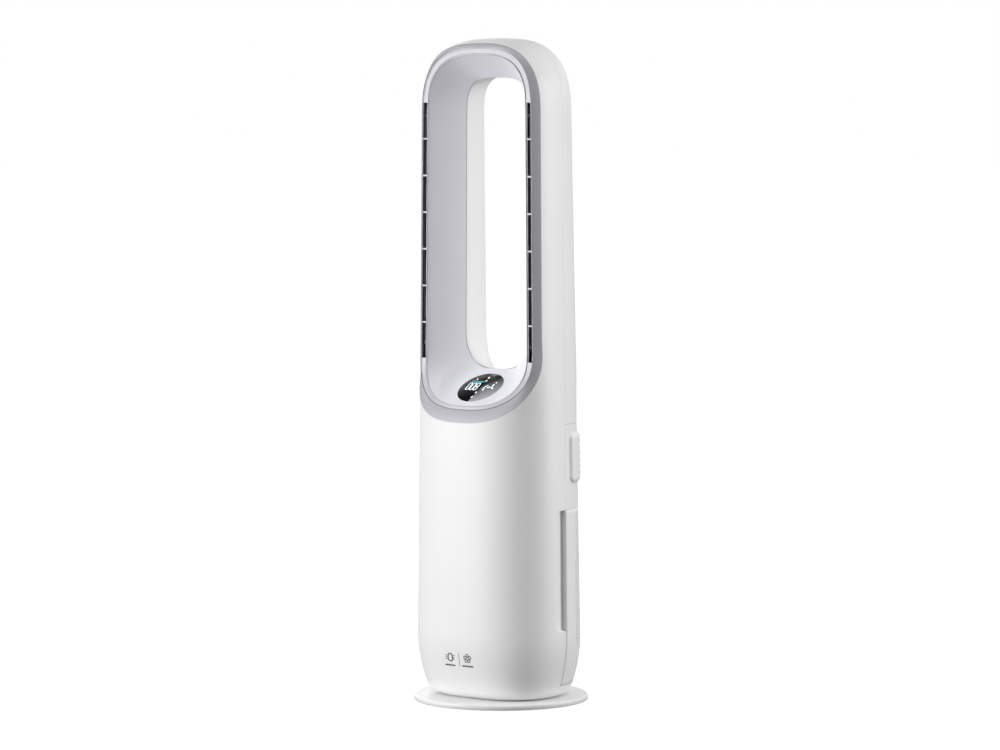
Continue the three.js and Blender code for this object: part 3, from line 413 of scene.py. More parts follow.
def piece(bm, name, material, body, slot=None, stands_for=(), wall=0.0, edge=0.0, segments=2):
    """Makes the mesh an object in metres, with live thickness and rounded edges."""
    bmesh.ops.scale(bm, vec=(MM, MM, MM), verts=bm.verts)
    mesh = bpy.data.meshes.new(name)
    bm.to_mesh(mesh)
    bm.free()
    mesh.shade_smooth()
    mesh.materials.append(material)
    made = bpy.data.objects.new(name, mesh)
    bpy.context.collection.objects.link(made)
    if wall:
        thick = made.modifiers.new("Wall", "SOLIDIFY")
        thick.thickness, thick.offset, thick.use_even_offset = wall * MM, -1, True
    if edge:
        soft = made.modifiers.new("Edges", "BEVEL")
        soft.width, soft.segments, soft.limit_method = edge * MM, segments, "ANGLE"
        soft.angle_limit, soft.harden_normals = EDGE_ANGLE, True
    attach(made, body)
    if stands_for:
        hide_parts(*stands_for)


# ---- Finishes -----------------------------------------------------------------------------


def every(step):
    """The scale of a texture that repeats at a step in millimetres."""
    return 1 / (step * MM)


def waves(step):
    """The scale of a Wave texture of the given step, as its own wave is 2 pi / 20 long."""
    return 2 * pi / 20 / (step * MM)


def add_node(owner, kind, inputs=None, shader=None, **settings):
    """Adds a node with its settings, and sets or links its inputs. Its outputs go to the sockets
    of the owner's shader that shader names."""
    nodes, links = owner.node_tree.nodes, owner.node_tree.links
    made = nodes.new(kind)
    for name, value in settings.items():
        setattr(made, name, value)
    for socket, value in (inputs or {}).items():
        if isinstance(value, bpy.types.NodeSocket):
            links.new(value, made.inputs[socket])
        else:
            made.inputs[socket].default_value = value
    target = nodes.get("Principled BSDF") or nodes["Background"]
    for socket, output in (shader or {}).items():
        links.new(made.outputs[output], target.inputs[socket])
    return made


def finish(name, base, roughness, **sockets):
    """A new material with its shader's fixed values set, and its object coordinates."""
    material = bpy.data.materials.new(name)
    material.use_nodes = True
    material.diffuse_color = base
    shader = material.node_tree.nodes["Principled BSDF"]
    sockets |= {"Base_Color": base, "Roughness": roughness}
    for socket, value in sockets.items():
        shader.inputs[socket.replace("_", " ")].default_value = value
    return material, add_node(material, "ShaderNodeTexCoord").outputs["Object"]


def shaded(base, share):
    return tuple(c * share for c in base[:3]) + (1.0,)


def dress(material, pattern, first, second, relief=0, depth=0, gloss=(), grain=None, into=()):
    """Mixes two colours by a pattern, and raises the surface by it, or by a grain, to a depth in
    millimetres. gloss holds the roughness at the pattern's two ends, and into the names of more
    sockets that the colour goes to."""
    shades = {"Factor": pattern, "A": first, "B": second}
    sockets = {"Base Color": "Result"} | dict.fromkeys(into, "Result")
    add_node(material, "ShaderNodeMix", shades, sockets, data_type="RGBA")
    if relief:
        height = {"Height": grain or pattern, "Strength": relief, "Distance": depth * MM}
        add_node(material, "ShaderNodeBump", height, {"Normal": "Normal"})
    if gloss:
        add_node(
            material, "ShaderNodeMapRange", {"Value": pattern, "To Min": gloss[0], "To Max": gloss[1]},
            {"Roughness": "Result"},
        )
    return material


def moulded(name, base, roughness, grain, relief, clouds=0.97, **sockets):
    """Injection-moulded plastic: a spark-eroded grain of the given size in millimetres, and a
    faint unevenness of tone and gloss where the melt cooled."""
    material, where = finish(name, base, roughness, **sockets)
    cloud, spark = (
        add_node(material, "ShaderNodeTexNoise", {"Vector": where} | inputs).outputs["Fac"]
        for inputs in (
            {"Scale": every(90), "Detail": 2.0}, {"Scale": every(grain), "Detail": 3.0, "Roughness": 0.6},
        )
    )
    gloss = roughness - 0.04, roughness + 0.05
    return dress(material, cloud, base, shaded(base, clouds), relief, 0.1, gloss, spark)


def patterned(name, base, roughness, kind, inputs, shades, relief, depth, gloss=(), output="Fac", **sockets):
    """A finish whose one texture shades its base colour between two shares and raises it."""
    material, where = finish(name, base, roughness, **sockets)
    pattern = add_node(material, kind, {"Vector": where} | inputs).outputs[output]
    first, second = (shaded(base, share) for share in shades)
    return dress(material, pattern, first, second, relief, depth, gloss)


def metal(name, base, roughness, grain, relief, contrast):
    """A metal surface whose scratches or cast skin vary its gloss and tone."""
    fine = {"Scale": every(grain), "Detail": 6.0, "Roughness": 0.65}
    gloss = roughness - 0.1, roughness + 0.12
    return patterned(
        name, base, roughness, "ShaderNodeTexNoise", fine, (1, contrast), relief, 0.2, gloss, Metallic=1.0
    )


def white_abs():
    """Satin white ABS: bright, evenly moulded, with a soft highlight. Its real grain of about
    0.1 mm is drawn at 1.4 mm, because the render has 1.6 mm to a pixel."""
    return moulded("satin_white_abs", tone("shell"), 0.42, 1.4, 0.12, 0.975, IOR=1.53)


def silver_abs():
    """Satin silver-grey paint on ABS: darker than the shell, with fine metal flake that keeps
    bright where it faces a light and dark where it doesn't. The flake is drawn at 1.2 mm."""
    return moulded("satin_silver_paint", tone("bezel"), 0.5, 1.2, 0.2, 0.95, Metallic=0.25)


def pale_abs():
    """Satin pale grey ABS of the outlet ring: smooth, a little glossier than the shell."""
    return moulded("satin_pale_grey_abs", tone("outlet"), 0.34, 1.2, 0.1, 0.97, IOR=1.53)


def grey_abs():
    """Plain mid-grey ABS of the pieces behind the outer shells: matt, coarsely grained."""
    return moulded("matt_grey_abs", linear("#A9A9A9"), 0.58, 2.0, 0.3, 0.93)


def lilac_abs():
    """Matt cool grey ABS of the loop's inner walls: its deep, fine grain scatters the sheen that
    a smooth wall would show at a low angle."""
    return moulded("matt_cool_grey_abs", tone("funnel"), 0.6, 1.6, 0.2, 0.96, Specular_IOR_Level=0.2)


def black_abs():
    """Matt black ABS of the inner air path: coarse grain that kills reflections."""
    return moulded("matt_black_abs", linear("#1E1E20"), 0.62, 2.0, 0.35, 0.8)


def nylon():
    """Natural nylon: creamy, slightly waxy, as turned and moulded gears and washers are."""
    waxy = {"Subsurface_Weight": 0.05, "Subsurface_Scale": 0.002}
    return moulded("natural_nylon", linear("#E4DFCF"), 0.42, 2.4, 0.2, 0.93, **waxy)


def rubber():
    """Moulded rubber: dark, matt, with a dusty bloom on it."""
    return moulded("moulded_rubber", linear("#2B2B2C"), 0.8, 1.8, 0.4, 1.35)


def shadow_strip_grey():
    """Matt mid grey, a shade darker than the walls beside it: the strip it colours in the throat's joint is
    a painted shadow.
    """
    return moulded("grey_silicone", linear("#77777B"), 0.7, 1.6, 0.2, 0.9)


def pad_ink():
    """Pad-printed grey ink: matt, with the dotted edge that a silicone pad leaves."""
    return moulded("pad_printed_ink", tone("ink"), 0.55, 0.9, 0.1, 0.9)


def zinc_steel():
    """Zinc-plated pressed steel: pale, lightly spangled."""
    return metal("zinc_plated_steel", linear("#B9BCC0"), 0.32, 5.0, 0.15, 0.8)


def cast_iron():
    """Cast iron, phosphated: dark, rough skin from the sand mould."""
    return metal("phosphated_cast_iron", linear("#4A4B4D"), 0.6, 1.6, 0.8, 0.6)


def foam():
    """Open-cell seal foam: 0.8 mm cells drawn at 1.5 mm."""
    return patterned(
        "open_cell_foam", linear("#3A3A3C"), 0.95, "ShaderNodeTexVoronoi", {"Scale": every(1.5)},
        (0.4, 1), 0.9, 0.5, output="Distance",
    )


def filter_paper():
    """Pleated glass-fibre paper: off-white, matt and fibrous, with its felt about 0.4 mm long
    drawn at 1.5 mm."""
    felt = {"Scale": every(1.5), "Detail": 8.0, "Roughness": 0.75}
    return patterned(
        "glass_fibre_paper", linear("#ECEBE4"), 0.9, "ShaderNodeTexNoise", felt,
        (0.82, 1), 0.5, 0.3, Sheen_Weight=0.15,
    )


def woven_mesh():
    """Woven nylon mesh: threads 1 mm apart drawn 2.4 mm apart, dark between them."""
    return patterned(
        "woven_nylon_mesh", linear("#77797D"), 0.7, "ShaderNodeTexChecker", {"Scale": every(2.4)},
        (0.35, 1), 0.7, 0.3,
    )


def winding():
    """Enamelled copper wire laid in rounds: 0.5 mm wire drawn as 1.4 mm bands."""
    base = linear("#A4572B")
    material, where = finish("enamelled_copper", base, 0.3, Metallic=0.85, Coat_Weight=0.5)
    turns = add_node(
        material, "ShaderNodeTexWave",
        {"Vector": where, "Scale": waves(1.4), "Distortion": 0.6, "Detail": 1.0}, bands_direction="Z",
    )
    return dress(material, turns.outputs["Fac"], shaded(base, 0.45), base, 0.6, 0.4)


def webbing():
    """Woven polyester webbing: 0.5 mm yarns drawn 1.2 mm apart, warp over weft, with a dull sheen."""
    base = linear("#5A5C61")
    material, where = finish("polyester_webbing", base, 0.75, Sheen_Weight=0.2)
    weave = {
        place: add_node(
            material, "ShaderNodeTexWave", {"Vector": where, "Scale": waves(1.2), "Distortion": 0.3},
            bands_direction=direction,
        ).outputs["Fac"]
        for place, direction in enumerate("XZ")
    }
    yarns = add_node(material, "ShaderNodeMath", weave, operation="MULTIPLY").outputs["Value"]
    return dress(material, yarns, shaded(base, 0.5), base, 0.7, 0.3)


def laminate():
    """Green lacquered glass laminate: printed copper tracks show through the lacquer every 2.5 mm."""
    base = linear("#1F5B3A")
    material, where = finish("lacquered_laminate", base, 0.32, IOR=1.5)
    tracks = add_node(
        material, "ShaderNodeTexBrick",
        {"Vector": where, "Color1": base, "Color2": linear("#2A6E48"), "Mortar": linear("#3F8A5E"),
         "Scale": 1.0, "Mortar Size": 0.4 * MM, "Brick Width": 9 * MM, "Row Height": 2.5 * MM},
        {"Base Color": "Color"}, offset=0.37,
    )
    lacquer = {"Height": tracks.outputs["Fac"], "Strength": 0.4, "Distance": 0.05 * MM}
    add_node(material, "ShaderNodeBump", lacquer, {"Normal": "Normal"})
    return material


def smoked_acrylic():
    """Smoked acrylic: near black, polished, with the faintest smear in its reflections. Over its right
    half a paler grey is painted that grows towards the rim: a painted reflection."""
    dark = tone("display")
    material, where = finish("smoked_acrylic", dark, 0.05, IOR=1.49, Specular_IOR_Level=0.06)
    centre, tilt = display_place()
    local = add_node(
        material, "ShaderNodeMapping",
        {"Vector": where, "Location": centre * MM, "Rotation": tilt.to_euler()}, vector_type="TEXTURE",
    ).outputs["Vector"]
    across = add_node(material, "ShaderNodeSeparateXYZ", {"Vector": local}).outputs["X"]
    # The right half's paler grey, which grows towards the rim, is a painted reflection.
    right = add_node(material, "ShaderNodeMapRange", {"Value": across, "From Max": 1.5 * MM})
    reach = add_node(
        material, "ShaderNodeVectorMath", {0: local, 1: (0.72, -0.69, 0)}, operation="DOT_PRODUCT"
    )
    reflection_towards_rim = add_node(
        material, "ShaderNodeMapRange",
        {"Value": reach.outputs["Value"], "From Min": -6 * MM, "From Max": 36 * MM},
    )
    both = {0: right.outputs["Result"], 1: reflection_towards_rim.outputs["Result"]}
    painted_reflection = add_node(material, "ShaderNodeMath", both, operation="MULTIPLY").outputs["Value"]
    smear = add_node(material, "ShaderNodeTexNoise", {"Vector": where, "Scale": every(14), "Detail": 4.0})
    polish = {"Value": smear.outputs["Fac"], "To Min": 0.03, "To Max": 0.09}
    add_node(material, "ShaderNodeMapRange", polish, {"Roughness": "Result"})
    return dress(material, painted_reflection, dark, tone("painted_reflection"))


def lit(name, base, strength):
    """A light-emitting mark under smoked acrylic, slightly uneven as its diffuser is."""
    material, where = finish(name, base, 0.4, Emission_Strength=strength)
    cloud = add_node(material, "ShaderNodeTexNoise", {"Vector": where, "Scale": every(3), "Detail": 1.0})
    return dress(material, cloud.outputs["Fac"], base, shaded(base, 0.8), into=["Emission Color"])


def white_light():
    """White light-emitting diodes behind the digits and marks: cool and even."""
    return lit("display_light", tone("light"), 1.0)


def gauge_light():
    """A blue light-emitting diode behind the gauge line: dimmer than the digits."""
    return lit("display_gauge", tone("gauge"), 0.45)


FINISHES = {}


def worn(make):
    """The finish that a maker gives, made once."""
    if make.__name__ not in FINISHES:
        FINISHES[make.__name__] = make()
    return FINISHES[make.__name__]


# ---- Pieces -------------------------------------------------------------------------------


def white_piece(bm, name, stands_for=(), body="tower", wall=None, edge=None):
    """A white moulding, with the shells' own wall and rounding unless it has others."""
    wall = size("wall") if wall is None else wall
    edge = size("edge") if edge is None else edge
    piece(bm, name, worn(white_abs), body, "shell_white", stands_for, wall, edge)


def grip_inset(y, z):
    """How far a grip scoop presses the front shell in at a place on its side."""
    a, b = GRIP_WIDTH + y, min(z - GRIP_LOW, DOOR_TOP - z)
    if a < GRIP_CORNER and b < GRIP_CORNER:
        inside = GRIP_CORNER - hypot(GRIP_CORNER - a, GRIP_CORNER - b)
    else:
        inside = min(a, b)
    deep = mix(GRIP_STEP, GRIP_DEPTH, a / GRIP_WIDTH)
    return smooth(inside / GRIP_SLOPE) * deep if inside > 0 else 0


def front_shell_heights():
    """Heights of the lower front's rows, close together at the scoops' ends and at the heel."""
    near = [-3, -1] + [0.9 * i for i in range(21)]
    rows = [FRONT_JOIN, 400, 380, 360, 340, 325, 316] + [DOOR_TOP - step for step in near]
    rows += evenly(DOOR_TOP - 22, GRIP_LOW + 22, 12)
    rows += [GRIP_LOW + step for step in reversed(near)]
    return rows + [108, 98, 88, 78, 68, 58, 49, 41, 34, 28] + HEEL_ROWS


def panel(bm, angles, heights, facing, under=False):
    """A stretch of the column's skin. Under the heel it turns in by a narrow rim."""
    columns, last = len(angles) - 1, heights[-1]

    def skin(i, j):
        z = heights[j]
        pressed = grip_inset(skin_point(angles[i], z, facing).y, z) if facing < 0 else 0
        return skin_point(angles[i], z, facing, -pressed)

    def rim(i, j):
        p = skin_point(angles[i], last, facing)
        share = 1 - RIM_SHARE * j
        return Vector((p.x * share, p.y * share, last))

    sheet(bm, columns, len(heights) - 1, skin)
    if under:
        sheet(bm, columns, 1, rim)


class FAN_OT_front_shell(bpy.types.Operator):
    """Moulds the white front shell, from the loop's front edge down to the heel"""

    bl_idname = "fan.front_shell"
    bl_label = "Front Shell"

    ROWS = 14

    def execute(self, context):
        edge, seam = loop_line(EDGE, size("seam") / 2), seam_line(-1, FRONT_JOIN)
        between = [
            [onto_skin(a.lerp(b, j / self.ROWS)) for a, b in zip(edge, seam)] for j in range(1, self.ROWS)
        ]
        bm = bmesh.new()
        lines_sheet(bm, [edge, *between, seam])
        panel(bm, front_angles(), front_shell_heights(), -1, under=True)
        close_up(bm, (1, 0, 0))
        white_piece(bm, "shell_front", ["front_shell"])
        return {"FINISHED"}


BORE_STEPS, ROUNDING_STEPS, SKIN_STEPS = 6, 10, 12
NEAREST, FARTHEST, HALVINGS = 0.4, 3.0, 24  # the shares between which a bore line's end is sought


def rear_bore_lines():
    """Lines from the throat back along the bore, over its rounded rear edge and out to the seams."""
    start, back, seam = loop_line(THROAT), loop_line(BACK), seam_line(1, REAR_SEAM)
    rounding = size("bore_round")
    columns = []
    for a, b, c in zip(start, back, seam):
        a = Vector((a.x, a.y + THROAT_GAP, a.z))
        low, high = NEAREST, FARTHEST
        for _ in range(HALVINGS):
            half = (low + high) / 2
            low, high = (half, high) if skin_share(a.lerp(b, half)) < 1 else (low, half)
        corner = a.lerp(b, low)
        wall_end = corner + (a - corner).normalized() * rounding
        skin_start = onto_skin(corner + (c - corner).normalized() * rounding)
        column = [a.lerp(wall_end, i / BORE_STEPS) for i in range(BORE_STEPS)]
        for t in evenly(0, 1, ROUNDING_STEPS)[:-1]:
            column.append(wall_end.lerp(corner, t).lerp(corner.lerp(skin_start, t), t))
        column += [onto_skin(skin_start.lerp(c, i / SKIN_STEPS)) for i in range(SKIN_STEPS)]
        columns.append(column + [c])
    return [list(line) for line in zip(*columns)]


class FAN_OT_rear_loop_shell(bpy.types.Operator):
    """Moulds the white rear loop shell with the bore through it"""

    bl_idname = "fan.rear_loop_shell"
    bl_label = "Rear Loop Shell"

    def execute(self, context):
        bm = bmesh.new()
        lines_sheet(bm, rear_bore_lines())
        close_up(bm, (1, 0, 0))
        white_piece(bm, "shell_rear_loop", ["rear_loop_shell"])
        return {"FINISHED"}


class FAN_OT_rear_panels(bpy.types.Operator):
    """Moulds the white panel behind the fan and the skirt under the door"""

    bl_idname = "fan.rear_panels"
    bl_label = "Rear Panels"

    def execute(self, context):
        gap = 2 * size("seam")
        for name, node, heights, under in (
            ("panel_rear_middle", "rear_mid_panel", evenly(DOOR_TOP + gap, REAR_SEAM - gap, 8), False),
            ("panel_rear_skirt", "rear_skirt", [SKIRT_TOP, 28] + HEEL_ROWS, True),
        ):
            bm = bmesh.new()
            panel(bm, rear_angles(), heights, 1, under)
            close_up(bm, (0, 1, 0))
            white_piece(bm, name, [node])
        return {"FINISHED"}


class FAN_OT_vent_hood(bpy.types.Operator):
    """Moulds the louvred hood that stands proud of the back"""

    bl_idname = "fan.vent_hood"
    bl_label = "Vent Hood"

    EDGE_STEPS = (0, 0.4, 0.9, 1.6, 2.5, 3.6, 4.6)  # in from the upper and the lower edge
    SIDE_STEPS = (0, 0.5, 1, 1.8, 2.7, 3.8, 5, 6.5, 8, 10, 12, 14, 18, 24, 30)  # in from a side
    END_STEPS = (-1.2, -0.4, 0, 0.6, 1.8)  # on from where the louvres end
    MIDDLE_COLUMNS = 40
    LOUVRE_LEAD, LOUVRE_LIP, LOUVRE_BACK = 0.3, 0.35, 0.6
    LIP_SHARE = 0.35  # how far of a louvre's depth its lip is cut in

    def rises(self, half):
        """The rows' heights from the hood's middle, and how deep each is cut in."""
        pitch = (2 * half - 2 * HOOD_SLOPE) / LOUVRES
        found = [-half + step for step in self.EDGE_STEPS]
        cut = {}
        for i in range(LOUVRES):
            centre = -half + HOOD_SLOPE + (i + 0.5) * pitch
            a, b = centre - LOUVRE_HEIGHT / 2, centre + LOUVRE_HEIGHT / 2
            found += [a - self.LOUVRE_LEAD, a, a + self.LOUVRE_LIP]
            found += [b - self.LOUVRE_BACK, b, b + self.LOUVRE_LEAD]
            cut[round(a + self.LOUVRE_LIP, 3)] = self.LIP_SHARE
            cut[round(b - self.LOUVRE_BACK, 3)] = 1.0
        return found + [half - step for step in reversed(self.EDGE_STEPS)], cut

    def execute(self, context):
        low, high = (corner.z for corner in corners("vent_hood"))
        middle, half = (low + high) / 2, (high - low) / 2
        inner = half - HOOD_CORNER
        depth = half_sizes(middle, 1)[1]
        steps = [*self.SIDE_STEPS, *(LOUVRE_END - HOOD_END + step for step in self.END_STEPS)]
        near = [asin((HOOD_END + step) / (depth + HOOD_PROUD)) for step in steps]
        middles = evenly(near[-1], pi - near[-1], self.MIDDLE_COLUMNS)[1:-1]
        angles = near + middles + [pi - a for a in reversed(near)]
        rises, cut = self.rises(half)

        def place(i, j):
            angle, rise = angles[i], rises[j]
            y = (depth + HOOD_PROUD) * sin(angle)
            along = y - HOOD_END
            reach = half
            if along < HOOD_CORNER:
                reach = inner + sqrt(HOOD_CORNER**2 - (HOOD_CORNER - max(0, along)) ** 2)
            z = rise
            if abs(rise) > inner:
                z = mix(inner, reach, (abs(rise) - inner) / (half - inner)) * (1 if rise > 0 else -1)
            edge = min(along, half - abs(rise))
            proud = HOOD_PROUD * sin(pi / 2 * min(1, max(0, edge) / HOOD_EASING))
            share = cut.get(round(rise, 3), 0) if y > LOUVRE_END else 0
            return skin_point(angle, middle + z, 1, 0.1 + proud - share * size("louvre_depth"))

        bm = bmesh.new()
        sheet(bm, len(angles) - 1, len(rises) - 1, place)
        close_up(bm, (0, 1, 0))
        white_piece(bm, "hood_vent", ["vent_hood"], wall=0, edge=0)
        return {"FINISHED"}


class FAN_OT_filter_door(bpy.types.Operator):
    """Moulds the rear door with its field of small round holes"""

    bl_idname = "fan.filter_door"
    bl_label = "Filter Door"

    def execute(self, context):
        seam, pitch = size("seam"), size("hole_pitch")
        rows = round((HOLES_HIGH - HOLES_LOW) / pitch)
        heights = evenly(SKIRT_TOP + 2 * seam, HOLES_LOW, 7)[:-1] + evenly(HOLES_LOW, HOLES_HIGH, rows)
        first, start = seam / REAR_DEPTH, asin(HOLES_START / REAR_DEPTH)
        around = round((pi - 2 * start) * (REAR_DEPTH + HALF_WIDTH) / 2 / pitch)
        side = evenly(first, start, 6)[:-1]
        angles = side + evenly(start, pi - start, around) + [pi - a for a in reversed(side)]
        bm = bmesh.new()
        panel(bm, angles, heights + [DOOR_TOP], 1)
        close_up(bm, (0, 1, 0))
        cells = [f for f in bm.faces if self.is_holed(f.calc_center_median())]
        bmesh.ops.inset_individual(bm, faces=cells, thickness=pitch * 0.2)
        rims = {e for f in cells for e in f.edges}
        bmesh.ops.subdivide_edges(bm, edges=list(rims), cuts=1)
        for cell in cells:
            centre = cell.calc_center_median()
            for vert in cell.verts:
                vert.co = centre + (vert.co - centre).normalized() * size("hole_radius")
        bmesh.ops.delete(bm, geom=cells, context="FACES_ONLY")
        white_piece(bm, "door_filter", ["filter_door"], "filter_door", edge=0)
        return {"FINISHED"}

    @staticmethod
    def is_holed(centre):
        return HOLES_LOW < centre.z < HOLES_HIGH and centre.y > HOLES_START


class FAN_OT_bezel(bpy.types.Operator):
    """Moulds the grey bezel round the loop's mouth"""

    bl_idname = "fan.bezel"
    bl_label = "Front Bezel"

    CROWN, BACK = 0.5, 2.2  # how far its face bulges, and how thick it is

    def execute(self, context):
        outer, inner = loop_line(EDGE, -0.1), loop_line(BEZEL)
        lines = [moved(loop_line(EDGE, 0.6), 0.5)]
        for t in (0, 0.08, 0.2, 0.4, 0.6, 0.8, 0.93, 1):
            line = [a.lerp(b, t) for a, b in zip(outer, inner)]
            lines.append(moved(line, 0.1 - self.CROWN * sin(pi * t)))
        lines += [moved(loop_line(BEZEL, -0.3), self.BACK), moved(loop_line(EDGE, -2.2), self.BACK)]
        bm = bmesh.new()
        lines_sheet(bm, lines, tube=True)
        close_up(bm, (0, -1, 0))
        piece(bm, "bezel_front", worn(silver_abs), "tower", "trim_grey", ["front_bezel"], 0, 0.25, 3)
        return {"FINISHED"}


class FAN_OT_outlet_ring(bpy.types.Operator):
    """Moulds the pale outlet ring with a row of air slots down each side"""

    bl_idname = "fan.outlet_ring"
    bl_label = "Outlet Ring"

    # Each line of the ring's section: its share of the way in, its depth, its share beside the
    # slots, where the slots take nearly the whole width, and its depth at the sill.
    PROFILE = (
        (-0.08, 2.4, -0.08, 3.4), (-0.04, 1.7, -0.04, 3.4), (0.08, 1.7, 0.06, 3.4),
        (0.1, 0.5, 0.08, 0.9), (0.13, 0.3, 0.12, 0.4), (0.2, 0.3, 0.16, 0.2), (0.24, 1.1, 0.2, 0.2),
        (0.78, 1.1, 0.89, 0.2), (0.82, 2.6, 0.915, 0.6), (0.88, 2.6, 0.93, 0.6), (0.9, 0.4, 0.94, 0.2),
        (0.92, 0.1, 0.95, 0.1), (0.98, 0.1, 0.985, 0.1), (1.0, 0.5, 1.0, 0.5), (1.0, 3.0, 1.0, 3.0),
    )
    SLOT_WIDTH, SLOT_PLACE = 4, 80  # a slot's faces are wider than this and farther out than that

    def execute(self, context):
        ring = list(zip(loop_line(BEZEL), loop_line(LIP), map(self.place_in_loop, stations())))
        bm = bmesh.new()
        lines_sheet(bm, [
            [
                a.lerp(b, mix(share, beside, straight)) + Vector((0, mix(depth, at_sill, sill), 0))
                for a, b, (straight, sill) in ring
            ]
            for share, depth, beside, at_sill in self.PROFILE
        ])
        bmesh.ops.remove_doubles(bm, verts=bm.verts, dist=TOUCHING)
        spans = slot_spans()
        slots = [f for f in bm.faces if self.is_slot(f, spans)]
        bmesh.ops.delete(bm, geom=slots, context="FACES")
        close_up(bm, (0, -1, 0))
        piece(bm, "ring_outlet", worn(pale_abs), "tower", "trim_pale", ["outlet_ring"], 1.3, 0.2)
        return {"FINISHED"}

    @staticmethod
    def place_in_loop(place):
        """How far a station counts as beside the slots, and how far as part of the lower bend."""
        kind, value = place
        if kind in ("left", "right"):
            return 1, 0
        near = min(value, 1 - value)
        return 1 - smooth(near / 0.06), smooth(near / 0.2) if kind == "cradle" else 0

    def is_slot(self, face, spans):
        centre = face.calc_center_median()
        if abs(centre.x) <= self.SLOT_PLACE or not any(low < centre.z < high for low, high in spans):
            return False
        at = [abs(v.co.x) for v in face.verts]
        level = all(abs(v.co.y - centre.y) < 0.6 for v in face.verts)
        return level and max(at) - min(at) > self.SLOT_WIDTH


class FAN_OT_funnel(bpy.types.Operator):
    """Moulds the grey funnel between the outlet ring and the throat, flat round the display"""

    bl_idname = "fan.funnel"
    bl_label = "Inner Funnel"

    ROWS = 36
    FLAT_RADIUS, FLAT_EASING, FLAT_REACH = 41, 34, 30

    def execute(self, context):
        lip, throat = moved(loop_line(LIP), 1.2), moved(loop_line(THROAT), -THROAT_GAP)
        bm = bmesh.new()
        lines_sheet(bm, [
            [self.flattened(a.lerp(b, j / self.ROWS)) for a, b in zip(lip, throat)]
            for j in range(self.ROWS + 1)
        ])
        close_up(bm, (1, 0, 0), inward=True)
        piece(bm, "funnel_inner", worn(lilac_abs), "tower", "trim_pale", ["inner_funnel"], 2.0, 0.3)
        return {"FINISHED"}

    def flattened(self, p):
        """Where p comes to when the floor is laid flat round the display."""
        centre, tilt = display_place()
        away = tilt @ Vector((0, 0, 1))
        out = p - centre
        height = out.dot(away)
        if abs(height) >= self.FLAT_REACH:
            return p
        across = (out - away * height).length
        return p - away * height * (1 - smooth((across - self.FLAT_RADIUS) / self.FLAT_EASING))


def display_place():
    """The display's centre on the loop's floor, and the turn that lays a piece along the slope."""
    front = Vector((0, -LIP.at_sill, SILL + LIP.rise))
    back = Vector((0, -THROAT.forward, SILL + THROAT.rise))
    slope = back - front
    return front.lerp(back, 0.49), Matrix.Rotation(asin(slope.z / slope.length), 3, "X")


def disc(bm, across, tall, segments, x=0, y=0):
    """A flat filled ellipse."""
    made = bmesh.ops.create_circle(bm, cap_ends=True, segments=segments, radius=1)["verts"]
    bmesh.ops.scale(bm, vec=(across / 2, tall / 2, 1), verts=made)
    bmesh.ops.translate(bm, vec=(x, y, 0), verts=made)
    return made


def flat_ring(bm, x, y, across, tall, width, square=1.0, segments=28):
    """A flat ring of the given line width, squarer than an ellipse where square is less than 1."""
    made = bmesh.ops.create_circle(bm, cap_ends=True, segments=segments, radius=1)["verts"]
    face = made[0].link_faces[0]
    for vert in made:
        vert.co = Vector((power(vert.co.x, square) * across / 2, power(vert.co.y, square) * tall / 2, 0))
    rim = bmesh.ops.inset_region(
        bm, faces=[face], thickness=width, use_boundary=True, use_even_offset=True
    )["faces"]
    bmesh.ops.delete(bm, geom=[face], context="FACES_ONLY")
    bmesh.ops.translate(bm, vec=(x, y, 0), verts=list({v for f in rim for v in f.verts}))


